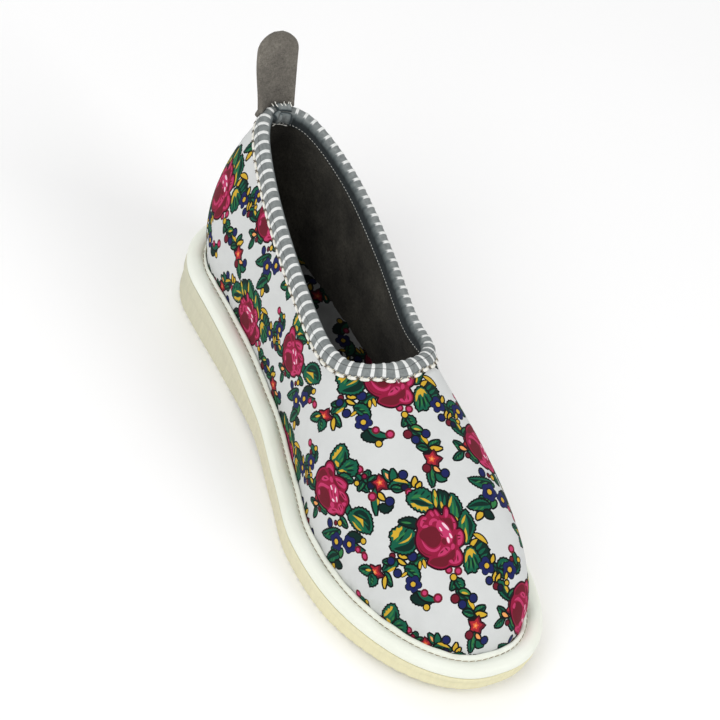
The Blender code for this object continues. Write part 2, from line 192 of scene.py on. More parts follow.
def through(knots, values, at):
    """Smooth curve through a table's values that stays flat where the table is flat."""
    knots, values, at = (np.asarray(a, float) for a in (knots, values, at))
    steps = np.diff(knots)
    rises = np.diff(values) / steps
    before, after = rises[:-1], rises[1:]
    turning = before * after <= 0
    inner = np.where(turning, 0.0, 2 * before * after / np.where(turning, 1.0, before + after))
    slopes = np.concatenate([rises[:1], inner, rises[-1:]])
    return hermite(knots, values, slopes, at)


def hermite(knots, values, slopes, at):
    """Cubic through values with the given slopes."""
    row = np.clip(np.searchsorted(knots, at, side="right") - 1, 0, len(knots) - 2)
    step = knots[row + 1] - knots[row]
    t = (at - knots[row]) / step
    rest = 1 - t
    held = values[row] * rest**2 * (1 + 2 * t) + values[row + 1] * t**2 * (3 - 2 * t)
    return held + step * t * rest * (slopes[row] * rest - slopes[row + 1] * t)


def round_loop(knots, values, at, period):
    """Smooth closed curve through values at knots that repeat after the period."""
    knots = np.concatenate([knots[-2:] - period, knots, knots[:2] + period])
    values = np.concatenate([values[-2:], values, values[:2]])
    slopes = np.gradient(values, knots)
    return hermite(knots, values, slopes, at)


def sole_column(name, station):
    """One column of the sole's table at any station."""
    knots = [row.station for row in SOLE_SECTIONS]
    return through(knots, [getattr(row, name) for row in SOLE_SECTIONS], np.clip(station, 0, SOLE_LENGTH))


def end_share(station, blunt_toe):
    """Share of the full breadth that the round heel and toe leave at a station."""
    heel = np.clip(1 - station / HEEL_ROUND, 0, 1)
    toe = np.clip(1 - (SOLE_LENGTH - station) / TOE_ROUND, 0, 1)
    at_heel = (1 - heel**HEEL_BLUNT) ** (1 / HEEL_BLUNT)
    at_toe = (1 - toe**blunt_toe) ** (1 / blunt_toe)
    return at_heel * at_toe


def ring_place(station):
    """Place of a sole station along half the ring, as a count of points from the heel."""
    return HALF_COUNT / math.pi * np.arccos(1 - 2 * np.asarray(station, float) / SOLE_LENGTH)


def even_stations():
    """Stations of half the ring, close together at the round ends."""
    return SOLE_LENGTH / 2 * (1 - np.cos(math.pi * np.arange(HALF_COUNT + 1) / HALF_COUNT))


def sole_edge(station):
    """The sole's outline in plan: heel, outer side, toe, inner side. One row of x and y for each point."""
    axis = sole_column("axis", station)
    outer = axis - sole_column("outer", station) * end_share(station, TOE_BLUNT_OUTER)
    inner = axis + sole_column("inner", station) * end_share(station, TOE_BLUNT_INNER)
    across = np.concatenate([outer, inner[-2:0:-1]])
    return np.stack([across, -np.concatenate([station, station[-2:0:-1]])], axis=1)


def outward(ring):
    """Unit vectors in plan that point out of a ring."""
    along = np.roll(ring, -1, axis=0) - np.roll(ring, 1, axis=0)
    normal = np.stack([along[:, 1], -along[:, 0]], axis=1)
    return normal / np.linalg.norm(normal, axis=1, keepdims=True)


def inset_ring(inset):
    """The sole's outline moved inwards."""
    edge = sole_edge(even_stations())
    return edge - outward(edge) * inset


def raised(ring, height):
    """A plan ring with a height for each point."""
    return np.column_stack([ring, np.broadcast_to(height, len(ring))])


def top_of_sole(ring):
    return sole_column("top", -ring[:, 1])


def section_column(name):
    """One column of the upper's table for every point of the ring."""
    outer = [(ring_place(row.edge), getattr(row, name)) for row in OUTER_SECTIONS]
    inner = [(RING_COUNT - ring_place(row.edge), getattr(row, name)) for row in INNER_SECTIONS]
    knots, values = np.array(outer + inner, float).T
    return round_loop(knots, values, np.arange(RING_COUNT), RING_COUNT)


def upper_handles():
    """Foot, two handles and collar end of every wall curve of the upper's outer face."""
    foot_ring = inset_ring(WELT_WIDTH)
    foot = raised(foot_ring, top_of_sole(foot_ring) + GAP)
    collar = np.column_stack([section_column("across"), -section_column("station"), section_column("height")])
    out = (foot - collar)[:, :2] + FAN_REACH * outward(foot_ring)
    out = raised(out / np.linalg.norm(out, axis=1, keepdims=True), 0.0)
    up = np.array([0.0, 0.0, 1.0])
    lean, slope = np.radians(section_column("lean"))[:, None], np.radians(section_column("slope"))[:, None]
    rise, drop = section_column("rise")[:, None], section_column("drop")[:, None]
    low = foot + rise * (np.sin(lean) * out + np.cos(lean) * up)
    high = collar + drop * (np.cos(slope) * out - np.sin(slope) * up)
    return foot, low, high, collar


def upper_face(shares):
    """Outer face of the upper, as rows of rings: share 0 is at the sole and 1 at the collar."""
    rows = np.asarray(shares, float)[:, None]
    return wall_points(np.broadcast_to(rows, (len(rows), RING_COUNT)))


def wall_points(shares):
    """Points of the wall curves: a share of the way up for every row and every point of the ring."""
    foot, low, high, collar = upper_handles()
    t = shares[:, :, None]
    rest = 1 - t
    return rest**3 * foot + 3 * rest**2 * t * low + 3 * rest * t**2 * high + t**3 * collar


def unit(vectors):
    return vectors / np.maximum(np.linalg.norm(vectors, axis=-1, keepdims=True), 1e-9)


def face_normals(rows):
    """Outward unit normals of a face given as rows of rings."""
    around = np.roll(rows, -1, axis=1) - np.roll(rows, 1, axis=1)
    upwards = np.gradient(rows, axis=0)
    return unit(np.cross(around, upwards))


def closed(ring):
    """A ring with its first point again at its end."""
    return np.concatenate([ring, ring[:1]])


def run(points):
    """Distance of every point of a path from its first one, along the path."""
    steps = np.linalg.norm(np.diff(points, axis=0), axis=-1)
    return np.concatenate([np.zeros((1, *steps.shape[1:])), steps.cumsum(axis=0)])


def below_collar(distances):
    """Rows of the upper's outer face at these distances down from the collar, measured along the wall."""
    fine = np.linspace(1, 0, FINE_ROWS)
    lengths = run(upper_face(fine))
    return wall_points(np.array([np.interp(distances, lengths[:, i], fine) for i in range(RING_COUNT)]).T)


def heel_shift():
    """From the maker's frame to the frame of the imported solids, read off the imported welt, in millimetres."""
    low, high = (np.array(corner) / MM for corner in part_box("welt"))
    edge = sole_edge(even_stations())
    middle = (edge[:, 0].min() + edge[:, 0].max()) / 2
    return np.array([(low[0] + high[0]) / 2 - middle, high[1], 0.0])


SHIFT = heel_shift()


def placed(points):
    """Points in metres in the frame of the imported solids."""
    return (np.asarray(points, float) + SHIFT) * MM


def put(name, data):
    """A new object in the scene."""
    made = bpy.data.objects.new(name, data)
    bpy.context.scene.collection.objects.link(made)
    return made


def finished(name, verts, faces, finish, node=None, smooth_angle=None):
    """A mesh object at the origin that rides with the shoe and stands for a solid, or only takes a finish."""
    mesh = bpy.data.meshes.new(name)
    mesh.from_pydata(np.asarray(verts).tolist(), [], [tuple(int(i) for i in face) for face in faces])
    mesh.validate()
    mesh.shade_smooth()
    if smooth_angle:
        mesh.set_sharp_from_angle(angle=math.radians(smooth_angle))
    mesh.materials.append(finish)
    piece = put(name, mesh)
    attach(piece, "root")
    if node:
        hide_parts(node)
    return piece


def corner_points(mesh):
    """The point at every corner of a mesh's faces."""
    corners = np.empty(len(mesh.loops), int)
    mesh.loops.foreach_get("vertex_index", corners)
    return corners


def flat_map(piece, name, values):
    """A map of flat coordinates with one pair for each point of a piece."""
    mesh = piece.data
    pairs = np.asarray(values, float)[corner_points(mesh)]
    mesh.uv_layers.new(name=name).data.foreach_set("uv", pairs.ravel())


def from_heel(ring):
    """Distance of every point of a ring from its point in the middle of the heel, along the ring."""
    lengths = run(closed(ring))
    return np.minimum(lengths[:-1], lengths[-1] - lengths[:-1])


def beside_heel(ring, offsets):
    """Points of a ring at distances along it from the middle of the heel, positive to the inner side."""
    near = ring[np.arange(-RING_COUNT // 8, RING_COUNT // 8 + 1)]
    lengths = run(near)
    lengths -= lengths[len(near) // 2]
    return np.column_stack([np.interp(-offsets, lengths, near[:, axis]) for axis in range(3)])


def slab(name, middle, normal, half, finish, node=None):
    """A soft strip: its middle face in rows and columns, with half its thickness to either side."""
    rows, columns = middle.shape[:2]
    sides = normal * half[..., None]
    loops = np.concatenate([middle + sides, (middle - sides)[:, ::-1]], axis=1)
    count = 2 * columns
    faces = ring_faces(rows, count, False)
    for row in (0, rows - 1):
        first = row * count
        for i in range(columns - 1):
            quad = (first + i, first + i + 1, first + count - 2 - i, first + count - 1 - i)
            faces.append(quad if row else quad[::-1])
    verts = loops.reshape(-1, 3)
    a, b, c, d = (verts[list(corner)] for corner in zip(*faces))
    if (np.cross(c - a, d - b) * (a + c)).sum() < 0:
        faces = [face[::-1] for face in faces]
    return finished(name, placed(verts), faces, finish, node, 60)


def ring_faces(levels, count, closed):
    """Quads between rings of equal count, outwards where the rings run counter-clockwise and go up."""
    faces = []
    for level in range(levels if closed else levels - 1):
        low, high = level * count, (level + 1) % levels * count
        for i in range(count):
            j = (i + 1) % count
            faces.append((low + i, low + j, high + j, high + i))
    return faces


def cap_faces(first, count, turned):
    """Strips that close a ring, from the outer side's points to the inner side's."""
    faces = []
    for i in range(count // 2):
        corners = [first + i, first + i + 1, first + (count - i - 1) % count, first + (count - i) % count]
        corners = list(dict.fromkeys(corners))
        faces.append(corners[::-1] if turned else corners)
    return faces


# Finishes


def linear(red, green, blue):
    """A colour given in the usual 0 to 255 steps, as light."""
    steps = np.array([red, green, blue]) / 255
    return np.where(steps <= 0.04045, steps / 12.92, ((steps + 0.055) / 1.055) ** 2.4)


def feed(tree, socket, value):
    """Sets a socket to a value, or links it to the socket that feeds it."""
    if isinstance(value, bpy.types.NodeSocket):
        tree.links.new(value, socket)
    else:
        socket.default_value = value


def add_node(tree, kind, settings=None, **inputs):
    """A node with its settings and what its inputs are fed with."""
    made = tree.nodes.new(kind)
    for name, value in (settings or {}).items():
        setattr(made, name, value)
    for name, value in inputs.items():
        feed(tree, made.inputs[name.replace("_", " ")], value)
    return made


class Finish:
    """A material under construction: nodes are added with their settings and joined by sockets."""

    def __init__(self, name, colour, roughness, sheen=0.0, gloss=0.5):
        self.material = bpy.data.materials.new(name)
        self.material.use_nodes = True
        self.tree = self.material.node_tree
        self.shader = self.tree.nodes["Principled BSDF"].inputs
        self.shader["Base Color"].default_value = (*colour, 1.0)
        self.shader["Roughness"].default_value = roughness
        self.shader["Specular IOR Level"].default_value = gloss
        self.shader["Sheen Weight"].default_value = sheen
        self.shader["Sheen Roughness"].default_value = 0.6

    def node(self, kind, settings=None, **inputs):
        return add_node(self.tree, kind, settings, **inputs)

    def place(self, scale=1.0):
        """Object coordinates, in millimetres times the scale."""
        coords = self.node("ShaderNodeTexCoord").outputs["Object"]
        size = np.broadcast_to(np.asarray(scale, float), 3) / MM
        return self.node("ShaderNodeMapping", Vector=coords, Scale=tuple(size)).outputs["Vector"]

    def flat(self, name):
        """The piece's own flat coordinates."""
        return self.node("ShaderNodeUVMap", {"uv_map": name}).outputs["UV"]

    def noise(self, at, scale, detail, roughness=0.55):
        made = self.node("ShaderNodeTexNoise", Vector=at, Scale=scale, Detail=detail, Roughness=roughness)
        return made.outputs["Fac"]

    def bands(self, at, way, scale, distortion):
        """Soft bands that follow each other along X or Y."""
        settings = {"bands_direction": way}
        made = self.node("ShaderNodeTexWave", settings, Vector=at, Scale=scale, Distortion=distortion)
        return made.outputs["Fac"]

    def ramp(self, factor, *stops):
        """Colours or greys at places along a factor."""
        made = self.node("ShaderNodeValToRGB", Fac=factor)
        elements = made.color_ramp.elements
        for index, (place, colour) in enumerate(stops):
            element = elements[index] if index < 2 else elements.new(place)
            element.position = place
            grey = np.ndim(colour) == 0
            element.color = (colour, colour, colour, 1.0) if grey else (*colour, 1.0)
        return made.outputs["Color"]

    def mixed(self, factor, first, second, mode="MULTIPLY"):
        """Two colours in one. Colours go in at the seventh and eighth socket and come out at the third."""
        made = self.node("ShaderNodeMix", {"data_type": "RGBA", "blend_type": mode})
        for index, value in ((0, factor), (6, first), (7, second)):
            feed(self.tree, made.inputs[index], value)
        return made.outputs[2]

    def math(self, operation, first, second=0.0):
        made = self.node("ShaderNodeMath", {"operation": operation})
        for socket, value in zip(made.inputs, (first, second)):
            feed(self.tree, socket, value)
        return made.outputs[0]

    def colour(self, socket):
        feed(self.tree, self.shader["Base Color"], socket)

    def rough(self, socket):
        feed(self.tree, self.shader["Roughness"], socket)

    def relief(self, height, depth_mm, strength):
        """Bump of a depth in millimetres."""
        made = self.node("ShaderNodeBump", Height=height, Strength=strength, Distance=depth_mm * MM)
        feed(self.tree, self.shader["Normal"], made.outputs["Normal"])


# Pitch of a finish's bands at a scale of one
BAND_PITCH = 0.314


def weave(finish, coords, pitch):
    """Over-and-under threads of a plain weave, as a height."""
    threads = [finish.bands(coords, way, BAND_PITCH / pitch, 0.6) for way in ("X", "Y")]
    return finish.math("MULTIPLY", *threads)


def make_cotton(name, thin, full):
    """Printed cotton: a colour on its faces, under a fine weave. Thin and full bound its mottle of wearing; set
    low, they paint shade.
    """
    finish = Finish(name, INKS["ground"], 0.88, sheen=0.04, gloss=0.08)
    at = finish.flat("cut")
    ink = finish.node("ShaderNodeAttribute", {"attribute_name": "print"}).outputs["Color"]
    threads = weave(finish, at, 0.42)
    # Mottle from thin to full. It is random wearing of the cloth, and where thin and full are low, as on the
    # sock, it is painted shade.
    wear_and_shade = finish.ramp(finish.noise(at, 0.09, 4), (0.3, thin), (0.7, full))
    worn_and_shaded = finish.mixed(1.0, ink, wear_and_shade)
    finish.colour(finish.mixed(0.25, worn_and_shaded, finish.ramp(threads, (0.0, 0.72), (0.6, 1.0))))
    finish.relief(threads, 0.1, 0.5)
    return finish.material


def make_felt(name, dark, light, depth):
    """Wool felt: a mottled colour, with pits and short fibres lying every way."""
    finish = Finish(name, light, 0.95, sheen=0.06, gloss=0.05)
    at = finish.place()
    cloud = finish.noise(at, 0.06, 4)
    pits = finish.noise(at, 0.6, 6, 0.7)
    hair = finish.noise(finish.place((2.4, 0.5, 0.5)), 1.6, 4, 0.7)
    cross = finish.noise(finish.place((0.5, 2.2, 2.2)), 1.5, 4, 0.7)
    nap = finish.math("ADD", finish.math("MULTIPLY", hair, cross), finish.math("MULTIPLY", pits, 0.5))
    base = finish.ramp(cloud, (0.25, dark), (0.8, light))
    finish.colour(finish.mixed(0.8, base, finish.ramp(nap, (0.34, 0.42), (0.66, 1.3))))
    finish.relief(nap, depth, 0.9)
    return finish.material


def make_ribbon():
    """Grey grosgrain: white stripes across its outer half, painted shade darkening its inner half, two dark
    threads along it.
    """
    finish = Finish("striped_ribbon", linear(134, 140, 143), 0.85, sheen=0.05, gloss=0.15)
    coords = finish.flat("ribbon")
    split = finish.node("ShaderNodeSeparateXYZ", Vector=coords).outputs
    across = finish.math("DIVIDE", split["Y"], RIBBON_WIDTH)
    in_stripe = finish.math("FRACT", split["X"])
    soft, end = 0.04, WHITE_SHARE
    stripe = finish.ramp(in_stripe, (0.0, 0.0), (soft, 1.0), (end - soft, 1.0), (end, 0.0))
    outer_half = finish.ramp(across, (0.51, 1.0), (0.56, 0.0))
    cloud = finish.noise(finish.place(), 0.5, 4)
    grey = finish.ramp(cloud, (0.3, linear(116, 121, 121)), (0.7, linear(144, 149, 148)))
    # Painted shade: from the fold to its far edge the inner half is multiplied darker, first by light and then
    # by dark, because it lies in the shoe's shade.
    light, dark = linear(205, 212, 214), linear(112, 122, 128)
    grey = finish.mixed(1.0, grey, finish.ramp(across, (0.52, 1.0), (0.6, light), (0.74, dark)))
    white = finish.ramp(cloud, (0.3, linear(226, 228, 226)), (0.7, linear(243, 244, 242)))
    striped = finish.mixed(finish.math("MULTIPLY", stripe, outer_half), grey, white, "MIX")
    for place, shade in ((0.235, 0.4), (0.045, 0.55)):
        away = finish.math("ABSOLUTE", finish.math("SUBTRACT", across, place))
        striped = finish.mixed(1.0, striped, finish.ramp(away, (0.005, shade), (0.012, 1.0)))
    rib = finish.bands(coords, "X", 2.67, 0.3)
    finish.colour(finish.mixed(0.35, striped, finish.ramp(rib, (0.0, 0.7), (0.7, 1.0))))
    finish.relief(rib, 0.14, 0.7)
    return finish.material


def make_leatherette():
    """Ivory leatherette with a fine grain, a satin face and a little yellowing."""
    finish = Finish("ivory_leatherette", linear(236, 237, 228), 0.5)
    at = finish.place()
    stain = finish.noise(at, 0.03, 3)
    finish.colour(finish.ramp(stain, (0.3, linear(232, 235, 221)), (0.7, linear(240, 243, 233))))
    grain = finish.node("ShaderNodeTexVoronoi", {"feature": "DISTANCE_TO_EDGE"}, Vector=at, Scale=1.5)
    fine = finish.noise(at, 2.2, 3)
    height = finish.math("ADD", finish.ramp(grain.outputs["Distance"], (0.0, 0.0), (0.25, 1.0)), fine)
    finish.relief(height, 0.07, 0.5)
    finish.rough(finish.ramp(stain, (0.3, 0.58), (0.7, 0.46)))
    return finish.material


def make_rubber():
    """Cream rubber with buffing marks up its side and a few specks, greyer at the heel than at the toe."""
    finish = Finish("cream_rubber", linear(232, 226, 198), 0.72, gloss=0.3)
    at = finish.place()
    along_sole = finish.node("ShaderNodeSeparateXYZ", Vector=at).outputs["Y"]
    to_toe = finish.math("ADD", finish.math("DIVIDE", along_sole, -SOLE_LENGTH), 0.5)
    buffed = finish.noise(finish.place((0.55, 0.55, 0.07)), 1.0, 4)
    specks = finish.noise(at, 0.5, 2, 0.4)
    shade = finish.math("ADD", to_toe, finish.math("MULTIPLY", finish.noise(at, 0.035, 4), 0.3))
    heel, waist, toe = linear(204, 203, 181), linear(217, 212, 186), linear(230, 224, 187)
    base = finish.ramp(shade, (0.1, heel), (0.7, waist), (1.0, toe))
    spotted = finish.mixed(0.8, base, finish.ramp(specks, (0.77, 1.0), (0.82, (0.74, 0.66, 0.52))))
    finish.colour(finish.mixed(0.3, spotted, finish.ramp(buffed, (0.35, 0.84), (0.65, 1.03))))
    finish.relief(finish.math("ADD", buffed, finish.noise(at, 1.1, 4)), 0.16, 0.6)
    return finish.material


def make_thread(name, dark, light):
    """Twisted sewing thread."""
    finish = Finish(name, light, 0.7, sheen=0.1, gloss=0.2)
    finish.colour(finish.ramp(finish.noise(finish.place(), 0.8, 3), (0.35, dark), (0.65, light)))
    finish.relief(finish.noise(finish.place(), 6.0, 2), 0.08, 0.6)
    return finish.material


def make_paper():
    """Plain pale floor."""
    finish = Finish("pale_floor", linear(253, 253, 253), 0.9)
    fleck = finish.noise(finish.place(), 0.004, 2)
    finish.colour(finish.ramp(fleck, (0.2, linear(252, 252, 252)), (0.8, linear(254, 254, 254))))
    return finish.material


# The print: one repeat, charted on the flat cloth. The first number of a place is positive towards the inner
# side, and the second grows towards the toe. The middle of the throat is at (0, 0).

REPEAT = np.array([75.0, 70.0])
INKS = {
    "ground": linear(216, 218, 217),
    "ink": linear(16, 24, 23),
    "maroon": linear(50, 12, 25),
    "pine": linear(14, 44, 38),
    "leaf": linear(22, 94, 70),
    "moss": linear(52, 122, 68),
    "yellow": linear(212, 172, 52),
    "navy": linear(30, 37, 92),
    "dusk": linear(24, 26, 58),
    "wine": linear(110, 28, 43),
    "crimson": linear(148, 28, 62),
    "pink": linear(196, 58, 106),
    "blush": linear(244, 206, 220),
    "scarlet": linear(172, 40, 52),
    "orange": linear(228, 96, 58),
    "amber": linear(240, 164, 96),
}
INK_LINE = 0.8
GREENS = ("leaf", "pine", "moss")
REDS = ("pink", "crimson", "wine")
WIDE_LEAF = 2.9


def soft_loop(points, steps):
    """Closed smooth outline through points."""
    points = np.asarray(points, float)
    before, after, beyond = (np.roll(points, k, axis=0) for k in (1, -1, -2))
    parts = []
    for t in np.arange(steps) / steps:
        tangent = (after - before) / 2
        leaving = (beyond - points) / 2
        held = points * (1 - t) ** 2 * (1 + 2 * t) + after * t**2 * (3 - 2 * t)
        parts.append(held + t * (1 - t) * (tangent * (1 - t) - leaving * t))
    return np.stack(parts, axis=1).reshape(-1, 2)


def flat_area(outline):
    """Area inside an outline, negative where it runs clockwise."""
    x, y = outline.T
    return (x * np.roll(y, -1) - np.roll(x, -1) * y).sum() / 2


def turned_left(outline):
    """An outline that runs counter-clockwise."""
    return outline if flat_area(outline) > 0 else outline[::-1]


def swelled(outline, by):
    """An outline moved out all round."""
    along = np.roll(outline, -1, axis=0) - np.roll(outline, 1, axis=0)
    side = unit(np.stack([along[:, 1], -along[:, 0]], axis=1))
    return outline + side * by * np.sign(flat_area(outline))


def toothed(outline, pitch=1.5, depth=0.42):
    """An outline with small teeth all round, as the edge of a leaf has."""
    loop = closed(outline)
    lengths = run(loop)
    count = 2 * max(3, round(lengths[-1] / pitch))
    at = np.arange(count) / count * lengths[-1]
    ring = np.column_stack([np.interp(at, lengths, loop[:, axis]) for axis in (0, 1)])
    return np.where(np.arange(count)[:, None] % 2 == 0, ring, swelled(ring, depth))


# What the print is drawn with: each gives its shapes in printing order, as pairs of an ink and an outline


def circle(turns):
    """Points of a circle with a radius of one."""
    return np.stack([np.cos(turns), np.sin(turns)], axis=1)


def patch(ink, *outlines, steps=2):
    """Plain patches."""
    return [(ink, soft_loop(points, steps)) for points in outlines]


def line_ink(ink):
    """Ink of the line round a patch."""
    return "maroon" if ink in REDS else "ink"


def lined(ink, points):
    """A patch with a dark line round it. A green one has a leaf's teeth."""
    outline = soft_loop(points, 2)
    if ink in GREENS:
        outline = toothed(outline)
    return [(line_ink(ink), swelled(outline, INK_LINE)), (ink, outline)]


def berry(x, y, radius, ink, long=1.0):
    """A round or long berry. A pink one is darker towards its edge."""
    ring = circle(np.arange(12) * math.pi / 6) * (1.0, long)
    light, dark = (0.8, "wine") if ink == "pink" else (1.0, line_ink(ink))
    edge = (x, y) + ring * (radius + INK_LINE * 0.75)
    return [(dark, edge), (ink, (x, y) + ring * radius * light)]


def blade(ink, base, tip, width, bow=0.0, line=0.0, points=7):
    """A leaf or stroke from base to tip, fullest before its middle, bowed to one side."""
    base, tip = np.array(base, float), np.array(tip, float)
    along = tip - base
    side = np.array([-along[1], along[0]]) / np.hypot(*along)
    t = np.linspace(0, 1, points)[:, None]
    spine = base + along * t + side * bow * 4 * t * (1 - t)
    half = width / 2 * np.sin(math.pi * t**0.8) ** 0.8 + 0.04
    outline = np.concatenate([spine - side * half, (spine + side * half)[::-1]])
    if ink in GREENS and line and width > WIDE_LEAF:
        outline = toothed(outline, 1.3, 0.3)
    edge = [("ink", swelled(outline, line))] if line else []
    return [*edge, (ink, outline)]


def bud(base, tip, width, bow):
    """A yellow bud with a dark line round it."""
    return blade("yellow", base, tip, width, bow, INK_LINE)


def leaf(base, tip, width, bow, vein=None):
    """A green leaf with a dark half, a light half and, where an ink is given, a vein."""
    base, tip = np.array(base, float), np.array(tip, float)
    along = tip - base
    side = np.array([-along[1], along[0]]) / np.hypot(*along)
    shapes = blade("leaf", base, tip, width, bow, INK_LINE)
    shapes += blade("pine", base + side * width * 0.2, tip, width * 0.42, bow)
    for share in (0.3, 0.55):
        foot = base + along * share
        shapes += blade("moss", foot, foot + along * 0.22 - side * width * 0.3, width * 0.16, points=4)
    if vein:
        shapes += blade(vein, base + along * 0.12, base + along * 0.72, width * 0.2, bow * 0.7)
    return shapes


def strokes(ink, width, *ends):
    """Thin pointed strokes, each from one end to the other."""
    return [shape for start, end in ends for shape in blade(ink, start, end, width, points=5)]


def blossom(x, y, radius, turn):
    """Navy flower of five round petals with a yellow eye."""
    turns = np.arange(25) * 2 * math.pi / 25
    reach = radius * (0.68 + 0.32 * np.abs(np.cos(2.5 * (turns - turn))) ** 0.7)
    ring = circle(turns) * reach[:, None]
    return [
        ("ink", (x, y) + ring * (1 + 0.4 / radius)),
        ("navy", (x, y) + ring),
        ("dusk", (x, y) + ring * 0.52),
        ("yellow", (x, y) + circle(turns[::3]) * radius * 0.3),
    ]


def star(x, y, radius, turn):
    """Small scarlet flower of five petals, darker on one side, with a glowing middle."""
    reach = np.where(np.arange(10) % 2 == 0, 1.0, 0.58)
    ring = circle(np.arange(10) * math.pi / 5 + turn) * reach[:, None] * radius
    outline = soft_loop(ring, 2)
    glow = (x - 0.1 * radius, y - 0.1 * radius)
    return [
        ("maroon", (x, y) + swelled(outline, 0.7)),
        ("wine", (x, y) + outline),
        ("scarlet", (x - 0.08 * radius, y - 0.1 * radius) + outline * 0.78),
        ("orange", glow + ring * 0.4),
        ("amber", glow + ring * 0.17),
    ]


